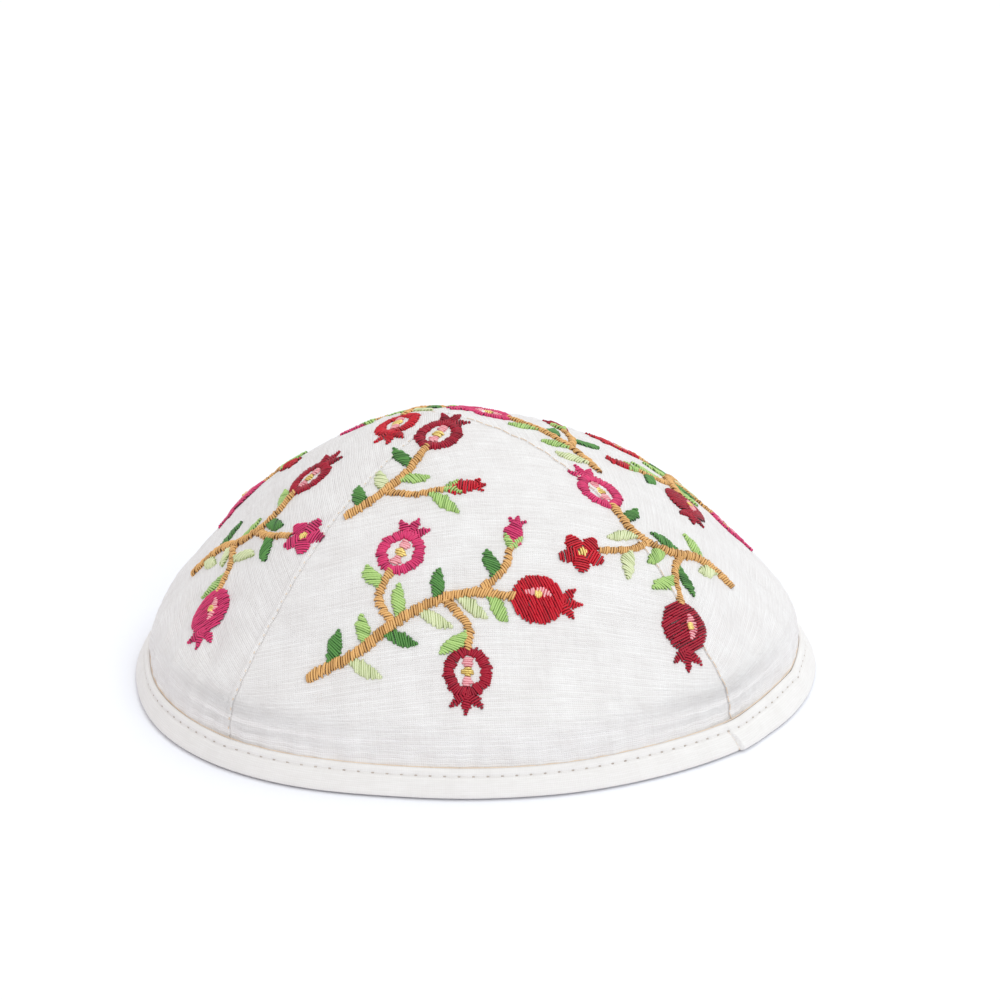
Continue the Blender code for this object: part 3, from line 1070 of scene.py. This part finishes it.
@dataclass
class Needlework:
    """Gathers strands by thread, and joins each thread's strands in one mesh."""

    flatness: float = 0.95  # a strand's height as a share of its width
    strand_shade: float = 0.16  # how much the strands' tones differ
    bunch_shade: float = 0.16  # and those of bunches of three
    seed: int = 7
    strands: dict[Thread, list[StrandSet]] = field(default_factory=dict)

    def __post_init__(self) -> None:
        """Starts the random numbers, which are the same in each run."""
        self.random = np.random.default_rng(self.seed)

    def add(self, thread: Thread, places: np.ndarray, normals: np.ndarray, width: float) -> None:
        """Adds strands of one thread.

        Args:
            thread: The thread.
            places: The stations' places: strands by stations by three.
            normals: The cloth's normals there.
            width: The strands' width.
        """
        self.strands.setdefault(thread, []).append(StrandSet(places, normals, width))

    def template(self) -> tuple[np.ndarray, list[list[int]], list[list[tuple[float, float]]]]:
        """Makes one strand: a capped tube, cut across at its stations.

        Returns:
            For each corner, the cosine and sine round the strand and its station's number;
            the faces; and the faces' maps, as shares along and turns round.
        """
        bm = bmesh.new()
        bmesh.ops.create_cone(bm, cap_ends=True, cap_tris=False, segments=STRAND_SIDES, radius1=1.0,
                              radius2=1.0, depth=float(STRAND_STEPS))
        bmesh.ops.translate(bm, vec=(0.0, 0.0, STRAND_STEPS / 2), verts=bm.verts)
        for station in range(1, STRAND_STEPS):
            everything = bm.verts[:] + bm.edges[:] + bm.faces[:]
            bmesh.ops.bisect_plane(bm, geom=everything, plane_co=(0, 0, station), plane_no=(0, 0, 1))
        bmesh.ops.recalc_face_normals(bm, faces=bm.faces)
        bm.verts.index_update()
        corners = np.array([corner.co for corner in bm.verts])
        turns = np.arctan2(corners[:, 1], corners[:, 0]) / TURN % 1.0
        faces, maps = [], []
        for face in bm.faces:
            numbers = [corner.index for corner in face.verts]
            around = turns[numbers]
            around = np.where((np.ptp(around) > 0.5) & (around < 0.5), around + 1, around)
            faces.append(numbers)
            maps.append(list(zip(strand_shares()[np.rint(corners[numbers, 2]).astype(int)], around)))
        bm.free()
        return corners, faces, maps

    def build(self) -> list[bpy.types.Object]:
        """Builds one piece for each thread.

        Returns:
            The pieces.
        """
        corners, faces, maps = self.template()
        station = np.rint(corners[:, 2]).astype(int)
        pieces = []
        for thread, sets in self.strands.items():
            places = np.concatenate([each.places for each in sets])
            normals = np.concatenate([each.normals for each in sets])
            widths = np.concatenate([np.full(len(each.places), each.width) for each in sets])
            along = np.gradient(places, axis=1)
            along /= np.maximum(np.linalg.norm(along, axis=-1, keepdims=True), 1e-12)
            side = np.cross(along, normals)
            side /= np.maximum(np.linalg.norm(side, axis=-1, keepdims=True), 1e-12)
            rise = np.cross(side, along)
            half = widths[:, None, None] / 2
            tube = places[:, station]
            tube = tube + side[:, station] * corners[None, :, :1] * half
            tube = tube + rise[:, station] * corners[None, :, 1:2] * half * self.flatness
            lengths = np.linalg.norm(np.diff(places, axis=1), axis=-1).sum(axis=1) / MM
            mesh = self.joined(thread.value.name, tube, faces, maps, lengths)
            pieces.append(finish_piece(f"stitches_{thread.name.lower()}", mesh, thread.value.material()))
        return pieces

    def joined(self, name: str, tube: np.ndarray, faces: list, maps: list, lengths: np.ndarray) -> bpy.types.Mesh:
        """Joins copies of the strand in one mesh, with a map and a tint for each copy.

        Args:
            name: The mesh's name.
            tube: The copies' corners: strands by corners by three.
            faces: One strand's faces.
            maps: One strand's maps.
            lengths: The strands' lengths in millimetres.

        Returns:
            The mesh.
        """
        count, size = tube.shape[:2]
        loops = np.concatenate([np.array(face) for face in faces])
        totals = np.array([len(face) for face in faces])
        map_shares = np.concatenate([np.array(each) for each in maps])
        offsets = np.arange(count)
        mesh = bpy.data.meshes.new(name)
        mesh.vertices.add(count * size)
        mesh.vertices.foreach_set("co", tube.ravel().astype(np.float32))
        mesh.loops.add(count * len(loops))
        mesh.loops.foreach_set("vertex_index", (loops[None, :] + size * offsets[:, None]).ravel().astype(np.int32))
        mesh.polygons.add(count * len(faces))
        starts = np.cumsum(totals) - totals
        starts = (starts[None, :] + len(loops) * offsets[:, None]).ravel()
        mesh.polygons.foreach_set("loop_start", starts.astype(np.int32))
        strand_map = mesh.uv_layers.new(name="strand_mm")
        uv = np.broadcast_to(map_shares, (count, *map_shares.shape)).copy()
        uv[..., 0] = uv[..., 0] * lengths[:, None]
        strand_map.data.foreach_set("uv", uv.ravel().astype(np.float32))
        tint = mesh.attributes.new("tint", "FLOAT", "POINT")
        shades = self.random.normal(0.5, self.strand_shade, count)
        bunched = np.convolve(self.random.normal(0.0, self.bunch_shade, count + 2), np.ones(3) / math.sqrt(3), "valid")
        tints = np.repeat(np.clip(shades + bunched, 0.0, 1.0), size)
        tint.data.foreach_set("value", tints.astype(np.float32))
        mesh.update(calc_edges=True)
        mesh.validate()
        return mesh


@dataclass
class Hoop:
    """The plane in which a sprig is drawn, and its way onto the cloth."""

    cloth: BVHTree
    origin: np.ndarray
    right: np.ndarray
    up: np.ndarray
    reach: float = 60 * MM

    def onto_cloth(self, drawing: np.ndarray) -> tuple[np.ndarray, np.ndarray]:
        """Lays drawn points on the cloth, straight in from the plane.

        Args:
            drawing: The points in millimetres, one row each.

        Returns:
            Their places on the cloth, and the cloth's normals there.
        """
        inward = -np.cross(self.right, self.up)
        start = self.origin + (drawing[:, :1] * self.right + drawing[:, 1:] * self.up) * MM - inward * self.reach
        places, normals = np.empty_like(start), np.empty_like(start)
        for number, point in enumerate(start):
            place, normal, _, _ = self.cloth.ray_cast(Vector(point), Vector(inward))
            places[number], normals[number] = place, normal
        return places, normals


@dataclass
class Draughting:
    """Fills drawn shapes with stitches, in a sprig's own plane and in millimetres."""

    needlework: Needlework
    hoop: Hoop
    pitch: float = 0.60  # the real 0.4 is too fine to show
    ragged: float = 0.45
    jitter: float = 0.06
    strand_width: float = 0.66

    def stitches(self, thread: Thread, starts: np.ndarray, ends: np.ndarray, rise: float,
                 pad: Callable[[np.ndarray], np.ndarray] | None = None) -> None:
        """Lays one strand from each start to its end, arched over the cloth.

        Args:
            thread: The thread.
            starts: The points where the strands come up.
            ends: The points where they go down.
            rise: How high their middles stand.
            pad: What gives the height of the stitches underneath, if there are any.
        """
        random = self.needlework.random
        along = ends - starts
        length = np.linalg.norm(along, axis=1, keepdims=True)
        along = along / np.maximum(length, 1e-6)
        slack = np.minimum(self.ragged, length / 4)
        starts = starts + along * random.uniform(-0.6, 0.8, length.shape) * slack
        starts = starts + random.normal(0.0, self.jitter, starts.shape)
        ends = ends - along * random.uniform(-0.6, 0.8, length.shape) * slack
        ends = ends + random.normal(0.0, self.jitter, ends.shape)
        shares = strand_shares()
        drawing = starts[:, None] + (ends - starts)[:, None] * shares[None, :, None]
        places, normals = self.hoop.onto_cloth(drawing.reshape(-1, 2))
        arch = np.sin(np.linspace(0.0, math.pi, len(shares))) ** 0.6
        heights = rise * random.uniform(0.85, 1.15, len(starts))
        lift = heights[:, None] * arch[None, :] + (pad(drawing) if pad else -0.12)
        shape = (*drawing.shape[:2], 3)
        places = places.reshape(shape) + normals.reshape(shape) * lift[..., None] * MM
        self.needlework.add(thread, places, normals.reshape(shape), self.strand_width * MM)

    def rib(self, thread: Thread, way: np.ndarray, half: np.ndarray, slant: float, rise: float,
            pad: Callable[[np.ndarray], np.ndarray] | None = None) -> None:
        """Covers a ribbon with stitches that run across it.

        Args:
            thread: The thread.
            way: The ribbon's middle line, a point for each stitch.
            half: Its half width at each point.
            slant: How far along the ribbon a stitch runs, as a share of its width.
            rise: How high the stitches stand.
            pad: What gives the height of the stitches underneath, if there are any.
        """
        along = np.gradient(way, axis=0)
        along /= np.maximum(np.linalg.norm(along, axis=1, keepdims=True), 1e-9)
        across = np.stack([-along[:, 1], along[:, 0]], axis=1)
        reach = (across + slant * along) * half[:, None]
        self.stitches(thread, way + reach, way - reach, rise, pad)

    def oval(self, thread: Thread, base: np.ndarray, angle: float, length: float, width: float,
             rise: float, bend: float = 0.0, point: float = 0.8, slant: float = 0.35,
             pad: Callable[[np.ndarray], np.ndarray] | None = None) -> None:
        """Covers an oval or a leaf, from its base along its angle.

        Args:
            thread: The thread.
            base: Where it starts.
            angle: Its direction, in radians.
            length: Its length.
            width: Its width.
            rise: How high the stitches stand.
            bend: How far its middle line bows to the side, as a share of its length.
            point: Below 1 for blunt ends, above 1 for sharp ones.
            slant: How far its stitches slant.
            pad: What gives the height of the stitches underneath, if there are any.
        """
        count = max(int(length / self.pitch), 4)
        share = (np.arange(count) + 0.5) / count
        bow = bend * length * np.sin(math.pi * share)
        way = base + turned(np.stack([share * length, bow], axis=1), angle)
        half = width / 2 * np.sin(math.pi * share**0.9) ** point
        self.rib(thread, way, half, slant, rise, pad)

    def ring(self, thread: Thread, centre: np.ndarray, angle: float, outer: tuple[float, float],
             inner: tuple[float, float], rise: float) -> None:
        """Covers the band between an ellipse and an almond-shaped opening.

        Args:
            thread: The thread.
            centre: The middle.
            angle: The direction of the long way, in radians.
            outer: The outer half length and half width.
            inner: The opening's half length and half width.
            rise: How high the stitches stand.
        """
        count = int(TURN * sum(outer) / 2 / self.pitch)
        turn = np.arange(count) / count * TURN
        edge = np.stack([outer[0] * np.cos(turn), outer[1] * np.sin(turn)], axis=1)
        almond = np.abs(np.sin(turn)) ** 1.25 * np.sign(np.sin(turn))
        opening = np.stack([inner[0] * np.cos(turn), inner[1] * almond], axis=1)
        self.stitches(thread, centre + turned(edge, angle), centre + turned(opening, angle), rise)

    def disc(self, thread: Thread, centre: np.ndarray, angle: float, radius: float, rise: float) -> Callable:
        """Covers a disc with close rows, each row in several stitches that are staggered from row to row.

        Args:
            thread: The thread.
            centre: The middle.
            angle: The direction square to the rows, in radians.
            radius: The radius.
            rise: How high the middle stands.

        Returns:
            What gives the disc's height at drawn points.
        """

        def pad(drawing: np.ndarray) -> np.ndarray:
            """The height of the disc's own padding under drawn points."""
            away = np.linalg.norm(drawing - centre, axis=-1) / radius
            return rise * np.sqrt(np.clip(1 - away**2, 0.0, 1.0))

        seen, overlap, starts, ends = 3.9, 0.35, [], []
        for row, place in enumerate(np.arange(-radius + self.pitch / 2, radius, self.pitch)):
            half = math.sqrt(radius**2 - place**2)
            first = -half + seen * (0.35 + row * 0.37 % 1.0)
            cuts = [-half, *np.arange(first, half - 0.8, seen), half]
            starts += [(place, left - (overlap if number else 0.0)) for number, left in enumerate(cuts[:-1])]
            ends += [(place, right) for right in cuts[1:]]
        starts, ends = turned(np.array(starts), angle), turned(np.array(ends), angle)
        self.stitches(thread, centre + starts, centre + ends, 0.2, pad)
        return pad


def turned(points: np.ndarray, angle: float) -> np.ndarray:
    """Drawn points turned about the drawing's origin."""
    cos, sin = math.cos(angle), math.sin(angle)
    return np.stack([points[:, 0] * cos - points[:, 1] * sin, points[:, 0] * sin + points[:, 1] * cos], axis=1)


def smooth_way(points: np.ndarray, pitch: float) -> np.ndarray:
    """Draws a smooth line through a few points.

    Args:
        points: The points, in millimetres.
        pitch: How far apart the line's own points lie.

    Returns:
        The line's points, evenly spaced.
    """
    line = smooth_table(points, np.linspace(0.0, len(points) - 1, 40 * len(points)))
    arc = np.concatenate(([0.0], np.cumsum(np.linalg.norm(np.diff(line, axis=0), axis=1))))
    evenly = np.linspace(0.0, arc[-1], max(int(arc[-1] / pitch), 3))
    return np.stack([np.interp(evenly, arc, line[:, axis]) for axis in range(2)], axis=1)


# Embroidery


class Tip(Enum):
    """What a stem ends in."""

    OPEN_FRUIT = "a fruit cut open, with its seeds"
    WHOLE_FRUIT = "a whole fruit, split a little"
    BUD = "a closed bud"
    BLOSSOM = "an open flower"


@dataclass(frozen=True)
class Stem:
    """A stem of a sprig: its way and width in millimetres, what it bears, and in which of the sprig's reds."""

    way: tuple[tuple[float, float], ...]
    width: float
    tip: Tip
    red: int
    bare: float = 4.5  # from its start, without leaves
    first_side: int = 1


BOUGH = (
    Stem(way=((-31, -15), (-20, -11), (-8, -3), (5, 2), (17, 1)), width=2.6, tip=Tip.WHOLE_FRUIT, red=0),
    Stem(way=((-11, -4.9), (-14, 2), (-11, 9)), width=2.0, tip=Tip.OPEN_FRUIT, red=1),
    Stem(way=((1, 0.8), (6, -6), (6, -12)), width=2.0, tip=Tip.OPEN_FRUIT, red=2, first_side=-1),
    Stem(way=((9, 2.2), (15, 8), (17, 14)), width=1.8, tip=Tip.BUD, red=1),
)
FORK = (
    Stem(way=((9, -22), (7, -12), (0, -4), (-2, 5), (3, 13)), width=2.5, tip=Tip.OPEN_FRUIT, red=0),
    Stem(way=((3, -7), (-6, -8), (-13, -13)), width=1.9, tip=Tip.WHOLE_FRUIT, red=2),
    Stem(way=((-1.5, 1), (-8, 4), (-14, 10)), width=1.9, tip=Tip.BLOSSOM, red=1, first_side=-1),
)
SPRAY = (
    Stem(way=((-16, -6), (-7, -4.5), (2, -1), (10, 5)), width=2.2, tip=Tip.OPEN_FRUIT, red=0, bare=3.5),
    Stem(way=((-5, -4), (1, -9), (8, -11)), width=1.8, tip=Tip.BUD, red=1, bare=3.5),
)


@dataclass(frozen=True)
class Sprig:
    """Where a sprig lies on the cap, how it is turned, and its reds."""

    stems: tuple[Stem, ...]
    azimuth: float  # degrees
    rise: float  # share of the way up the wall
    turn: float  # degrees
    reds: tuple[Thread, Thread, Thread] = (Thread.CRIMSON, Thread.MAGENTA, Thread.WINE)
    mirrored: bool = False


SPRIGS = (
    Sprig(BOUGH, azimuth=-7, rise=0.41, turn=4),
    Sprig(FORK, azimuth=57, rise=0.476, turn=12, reds=(Thread.MAGENTA, Thread.CRIMSON, Thread.WINE)),
    Sprig(BOUGH, azimuth=114, rise=0.421, turn=-12, reds=(Thread.WINE, Thread.CRIMSON, Thread.MAGENTA), mirrored=True),
    Sprig(FORK, azimuth=174, rise=0.459, turn=2, reds=(Thread.CRIMSON, Thread.MAGENTA, Thread.CRIMSON)),
    Sprig(BOUGH, azimuth=226, rise=0.427, turn=-4, reds=(Thread.MAGENTA, Thread.CRIMSON, Thread.WINE)),
    Sprig(FORK, azimuth=-73, rise=0.448, turn=-9, reds=(Thread.WINE, Thread.MAGENTA, Thread.MAGENTA), mirrored=True),
    Sprig(SPRAY, azimuth=-33, rise=0.76, turn=52, reds=(Thread.WINE, Thread.CRIMSON, Thread.WINE)),
    Sprig(SPRAY, azimuth=93, rise=0.788, turn=28, reds=(Thread.MAGENTA, Thread.WINE, Thread.WINE)),
    Sprig(SPRAY, azimuth=203, rise=0.833, turn=14, reds=(Thread.CRIMSON, Thread.MAGENTA, Thread.WINE)),
)
LEAF_THREADS = (Thread.FOREST, Thread.PALE, Thread.LEAF, Thread.FOREST, Thread.LEAF, Thread.PALE)


class Room(NamedTuple):
    """Places on the cloth that are taken, and how far from them the next thing stays, in metres."""

    places: np.ndarray
    reach: float


@dataclass
class Plan:
    """A sprig, its drawing and the middle lines of its stems."""

    sprig: Sprig
    draw: Draughting
    ways: list[np.ndarray]


@dataclass
class Embroidery:
    """Sprigs of fruit, buds, blossoms and leaves, in satin stitch."""

    form: CapForm
    relief: SilkRelief
    needlework: Needlework
    fruit_radius: float = 5.9
    leaf_length: float = 8.4
    leaf_width: float = 3.6
    leaf_pitch: float = 4.8  # along a stem, from one leaf to the next on the other side
    leaf_angle: float = 50.0  # degrees from its stem
    clearance: float = 1.5  # that a leaf keeps from what is drawn already
    bed_columns: int = 240
    bed_rows: int = 90
    rooms: list[Room] = field(default_factory=list)

    def work(self) -> None:
        """Embroiders every sprig: first the leaves, where there is room, then the stems, then what they bear."""
        cloth = self.bed()
        plans = [self.plan(sprig, cloth) for sprig in SPRIGS]
        for number, plan in enumerate(plans):
            for index, (stem, way) in enumerate(zip(plan.sprig.stems, plan.ways)):
                first = (number + 2 * index) % len(LEAF_THREADS)
                colours = cycle(LEAF_THREADS[first:] + LEAF_THREADS[:first])
                side = -stem.first_side if plan.sprig.mirrored else stem.first_side
                self.leaves(plan.draw, stem, way, colours, side)
        for plan in plans:
            for stem, way in reversed(list(zip(plan.sprig.stems, plan.ways))):
                share = np.linspace(0.0, 1.0, len(way))
                start = np.sqrt(np.clip((np.arange(len(way)) + 1) * plan.draw.pitch / 1.6, 0.0, 1.0))
                half = stem.width / 2 * (1.0 - 0.25 * share) * start
                plan.draw.rib(Thread.TAN, way, half, slant=0.4, rise=0.33 * stem.width)
            for stem, way in zip(plan.sprig.stems, plan.ways):
                heading = way[-1] - way[-4]
                angle = math.atan2(heading[1], heading[0])
                self.bear(plan.draw, stem.tip, way[-1], angle, plan.sprig.reds[stem.red])

    def bed(self) -> BVHTree:
        """Builds the surface that the strands lie on: the silk without its sewn edges.

        Returns:
            A search tree of its faces.
        """
        form = self.form
        bm = bmesh.new()
        bmesh.ops.create_grid(bm, x_segments=self.bed_columns, y_segments=self.bed_rows, size=0.5)
        shares = np.array([corner.co for corner in bm.verts]) + 0.5
        azimuth = shares[:, 0] * TURN
        level = form.level_at_arc(shares[:, 1] * form.arc)
        points = form.place(azimuth, level)
        places = points + form.normal(azimuth, level) * self.relief.body(azimuth, level, points)[:, None]
        for corner, place in zip(bm.verts, places):
            corner.co = place
        bm.normal_update()
        tree = BVHTree.FromBMesh(bm)
        bm.free()
        return tree

    def plan(self, sprig: Sprig, cloth: BVHTree) -> Plan:
        """Sets a drawing plane where a sprig lies, and claims the room of its stems and tips.

        Args:
            sprig: The sprig.
            cloth: The surface.

        Returns:
            The sprig's plan.
        """
        azimuth = np.array([math.radians(sprig.azimuth)])
        level = self.form.level_at_arc(np.array([sprig.rise * self.form.arc]))
        origin, normal = self.form.place(azimuth, level)[0], self.form.normal(azimuth, level)[0]
        right = np.cross(UP, normal)
        right /= np.linalg.norm(right)
        up = np.cross(normal, right)
        cos, sin = math.cos(math.radians(sprig.turn)), math.sin(math.radians(sprig.turn))
        hoop = Hoop(cloth, origin, right * cos + up * sin, up * cos - right * sin)
        draw = Draughting(self.needlework, hoop)
        mirror = (-1, 1) if sprig.mirrored else (1, 1)
        ways = [smooth_way(np.array(stem.way) * mirror, draw.pitch) for stem in sprig.stems]
        for way in ways:
            heading = (way[-1] - way[-4]) / np.linalg.norm(way[-1] - way[-4])
            self.claim(hoop, way[::5], 1.2)
            self.claim(hoop, way[-1:] + heading * self.fruit_radius, self.fruit_radius)
            self.claim(hoop, way[-1:] + heading * self.fruit_radius * 2.2, 2.5)
        return Plan(sprig, draw, ways)

    def claim(self, hoop: Hoop, drawing: np.ndarray, reach: float) -> None:
        """Keeps room round drawn points, as far as the reach in millimetres."""
        self.rooms.append(Room(hoop.onto_cloth(drawing)[0], reach * MM))

    def is_free(self, hoop: Hoop, drawing: np.ndarray) -> bool:
        """Whether drawn points keep clear of everything that has claimed room."""
        places = hoop.onto_cloth(drawing)[0]
        return all(
            np.linalg.norm(places[:, None] - room.places[None], axis=-1).min() > room.reach + self.clearance * MM
            for room in self.rooms
        )

    def leaves(self, draw: Draughting, stem: Stem, way: np.ndarray, colours: Iterator[Thread], side: int) -> None:
        """Sets leaves along a stem, on one side and then the other, where nothing else lies.

        Args:
            draw: The drawing.
            stem: The stem.
            way: Its middle line.
            colours: The leaves' threads, in turn.
            side: The first leaf's side, 1 or -1.
        """
        random = self.needlework.random
        arc, length = stem.bare, len(way) * draw.pitch
        while arc < length - 1.0:
            place = min(int(arc / draw.pitch), len(way) - 2)
            heading = way[place + 1] - way[place]
            lean = math.radians(self.leaf_angle + random.uniform(-9, 9))
            angle = math.atan2(heading[1], heading[0]) + side * lean
            reach = np.array((math.cos(angle), math.sin(angle)))
            size = self.leaf_length * random.uniform(0.84, 1.1)
            base = way[place] + reach * stem.width * 0.35
            probes = base + reach * size * np.array([[0.55], [0.8], [1.0]])
            free = self.is_free(draw.hoop, probes)
            if free:
                width = self.leaf_width * random.uniform(0.88, 1.08)
                draw.oval(next(colours), base, angle, size, width, rise=0.5, bend=side * random.uniform(-0.08, 0.02),
                          point=1.0, slant=0.6 * side)
                self.claim(draw.hoop, probes, 1.2)
            arc += self.leaf_pitch if free else self.leaf_pitch / 2
            side = -side

    def bear(self, draw: Draughting, tip: Tip, base: np.ndarray, angle: float, red: Thread) -> None:
        """Embroiders what a stem ends in.

        Args:
            draw: The drawing.
            tip: What it is.
            base: Where the stem ends.
            angle: The stem's direction there, in radians.
            red: The thread.
        """
        makers: dict[Tip, Callable[[Draughting, np.ndarray, float, Thread], None]] = {
            Tip.OPEN_FRUIT: self.open_fruit,
            Tip.WHOLE_FRUIT: self.whole_fruit,
            Tip.BUD: self.bud,
            Tip.BLOSSOM: self.blossom,
        }
        makers[tip](draw, base, angle, red)

    def crown(self, draw: Draughting, base: np.ndarray, angle: float, size: float, red: Thread) -> None:
        """Embroiders a fruit's crown of three points.

        Args:
            draw: The drawing.
            base: The top of the fruit.
            angle: The fruit's direction, in radians.
            size: The length of the middle point.
            red: The thread.
        """
        for spread, share in ((-46, 0.95), (46, 0.95), (0, 1.0)):
            lean = angle + math.radians(spread)
            draw.oval(red, base, lean, size * share, size * 0.40, rise=0.42, point=1.15, slant=0.2)

    def open_fruit(self, draw: Draughting, base: np.ndarray, angle: float, red: Thread) -> None:
        """Embroiders a fruit cut open: its rind, its crown and a row of seeds, one of them gold."""
        radius = self.fruit_radius
        heading = np.array((math.cos(angle), math.sin(angle)))
        centre = base + heading * (radius - 0.6)
        self.crown(draw, base + heading * (2 * radius - 1.8), angle, 5.6, red)
        draw.ring(red, centre, angle, (radius, radius * 0.95), (radius * 0.66, radius * 0.54), rise=0.5)
        for step, thread in ((-1, Thread.PINK), (0, Thread.GOLD), (1, Thread.PINK)):
            seed = centre + heading * (step * 2.3 - 1.1)
            draw.oval(thread, seed, angle, 2.2, 2.5, rise=0.42, point=0.5, slant=0.0)

    def whole_fruit(self, draw: Draughting, base: np.ndarray, angle: float, red: Thread) -> None:
        """Embroiders a whole fruit, with a slim split that shows pink and a gold seed."""
        radius = self.fruit_radius * 1.04
        heading = np.array((math.cos(angle), math.sin(angle)))
        across = np.array((-heading[1], heading[0]))
        centre = base + heading * (radius - 0.6)
        self.crown(draw, base + heading * (2 * radius - 1.8), angle, 5.6, red)
        pad = draw.disc(red, centre, angle + 0.5, radius, rise=0.42)
        start = centre - heading * 3.1 + across * 1.1
        draw.oval(Thread.PINK, start, angle, 6.2, 2.5, rise=0.36, bend=0.1, slant=0.0, pad=pad)
        draw.oval(Thread.GOLD, start + heading * 2.3, angle, 1.6, 1.7, rise=0.62, point=0.5, slant=0.0, pad=pad)

    def bud(self, draw: Draughting, base: np.ndarray, angle: float, red: Thread) -> None:
        """Embroiders a closed bud in its green cup."""
        heading = np.array((math.cos(angle), math.sin(angle)))
        draw.oval(red, base, angle, 7.6, 4.6, rise=0.6, point=0.7, slant=0.25)
        self.crown(draw, base + heading * 6.4, angle, 3.0, red)
        for side in (-1, 1):
            draw.oval(Thread.LEAF, base - heading * 0.6, angle + side * 0.5, 4.4, 1.7, rise=0.75, bend=-side * 0.08)

    def blossom(self, draw: Draughting, base: np.ndarray, angle: float, red: Thread) -> None:
        """Embroiders an open flower of five petals round a gold heart."""
        heading = np.array((math.cos(angle), math.sin(angle)))
        centre = base + heading * 4.4
        for petal in range(5):
            lean = angle + math.pi + (petal + 0.5) * TURN / 5
            start = centre + 0.9 * np.array((math.cos(lean), math.sin(lean)))
            draw.oval(red, start, lean, 4.6, 4.0, rise=0.5, point=0.55, slant=0.1)
        draw.oval(Thread.GOLD, centre - heading * 1.2, angle, 2.4, 2.4, rise=0.6, point=0.5, slant=0.0)


@dataclass
class SeamStitching:
    """The stitches that hold each seam's folded edge, sunk beside the ridge. Where most of each stitch shows, the
    strands run as a nearly unbroken tan line: seam thread, and painted shade of the seam's groove.
    """

    form: CapForm
    relief: SilkRelief
    pitch: float = 2.25 * MM
    inset: float = 0.12 * MM  # from the seam, on the panel that lies on top
    width: float = 0.26 * MM

    def sew(self, needlework: Needlework) -> None:
        """Sews all the seams.

        Args:
            needlework: What gathers the strands.
        """
        form = self.form
        for index, seam in enumerate(SEAMS):
            side = 1.0 if seam.ridge is Ridge.AFTER else -1.0
            starts = np.arange(form.band_height + 0.5 * MM, form.arc * 0.96, self.pitch)
            arc = starts[:, None] + seam.shown * MM * strand_shares()[None, :]
            level = form.level_at_arc(arc.ravel())
            height, radius_share, _ = form.section(level)
            offset = side * self.inset / np.maximum(form.foot_radius * radius_share, 1 * MM)
            azimuth = form.seam_azimuth(index, height) + offset
            points = form.place(azimuth, level)
            normals = form.normal(azimuth, level)
            out = self.relief.body(azimuth, level, points) + 0.03 * MM
            out += self.relief.sewn_edge(np.full(len(out), self.inset), arc.ravel(), ridged=True)
            shape = (*arc.shape, 3)
            places = points + normals * out[:, None]
            needlework.add(Thread.BEIGE, places.reshape(shape), normals.reshape(shape), self.width)


# The studio


class Lamp(NamedTuple):
    """A far, wide lamp: where it hangs and how wide it looks, in degrees, and its strength."""

    name: str
    azimuth: float
    elevation: float
    spread: float
    strength: float


@dataclass(frozen=True)
class Studio:
    """A plain pale floor, soft light from the front right and from above, and the photograph's view."""

    camera_place: tuple[float, float, float] = (-0.0052, -0.7030, 0.3037)
    camera_down: float = 20.456  # degrees below level
    camera_right: float = 0.878  # degrees towards +X
    focal_length: float = 109.35  # mm, on a sensor 36 mm wide
    floor_size: float = 6.0
    lamps: tuple[Lamp, ...] = (
        Lamp("key", azimuth=33, elevation=40, spread=38, strength=0.70),
        Lamp("overhead", azimuth=140, elevation=63, spread=60, strength=0.73),
    )
    lamp_colour: str = "#effcff"
    sky: float = 0.785
    sky_colour: str = "#fffdfd"

    def build(self) -> None:
        """Sets up the floor, the lights and the camera."""
        self.floor()
        self.lights()
        self.camera()

    def floor(self) -> None:
        """Lays the floor just under the rim."""
        bm = bmesh.new()
        bmesh.ops.create_grid(bm, x_segments=1, y_segments=1, size=self.floor_size / 2)
        mesh = bpy.data.meshes.new("floor")
        bm.to_mesh(mesh)
        bm.free()
        material, _, shader = new_material("white_paper")
        shader.inputs["Base Color"].default_value = srgb("#fafaff")
        shader.inputs["Roughness"].default_value = 0.9
        shader.inputs["Specular IOR Level"].default_value = 0.1
        mesh.materials.append(material)
        floor = bpy.data.objects.new("floor", mesh)
        bpy.context.scene.collection.objects.link(floor)

    def lights(self) -> None:
        """Hangs the lamps, and lights the room evenly."""
        for lamp in self.lamps:
            data = bpy.data.lights.new(lamp.name, "SUN")
            data.angle = math.radians(lamp.spread)
            data.energy = lamp.strength
            data.color = srgb(self.lamp_colour)[:3]
            light = bpy.data.objects.new(lamp.name, data)
            light.rotation_euler = (math.radians(90 - lamp.elevation), 0.0, math.radians(lamp.azimuth))
            bpy.context.scene.collection.objects.link(light)
        world = bpy.data.worlds.new("studio")
        world.use_nodes = True
        background = world.node_tree.nodes["Background"]
        background.inputs["Color"].default_value = srgb(self.sky_colour)
        background.inputs["Strength"].default_value = self.sky
        bpy.context.scene.world = world
        bpy.context.scene.view_settings.view_transform = "Standard"

    def camera(self) -> None:
        """Sets the camera where the photograph was taken from."""
        data = bpy.data.cameras.new("photograph")
        data.sensor_width = 36.0
        data.lens = self.focal_length
        camera = bpy.data.objects.new("photograph", data)
        camera.location = self.camera_place
        camera.rotation_euler = (math.radians(90 - self.camera_down), 0.0, -math.radians(self.camera_right))
        bpy.context.scene.collection.objects.link(camera)
        bpy.context.scene.camera = camera


def main() -> None:
    """Builds the cap round the frame."""
    logging.basicConfig(level=logging.INFO, format="%(name)s: %(message)s")
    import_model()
    form = CapForm.from_frame()
    log.info("rim %.1f mm, height %.1f mm", form.rim_diameter / MM, form.height / MM)
    relief = SilkRelief(form)
    SilkPanels(form, relief).build()
    binding = RimBinding(form)
    binding.build()
    needlework = Needlework()
    binding.stitching(needlework)
    SeamStitching(form, relief).sew(needlework)
    Embroidery(form, relief, needlework).work()
    needlework.build()
    Studio().build()


if __name__ == "__main__":
    main()
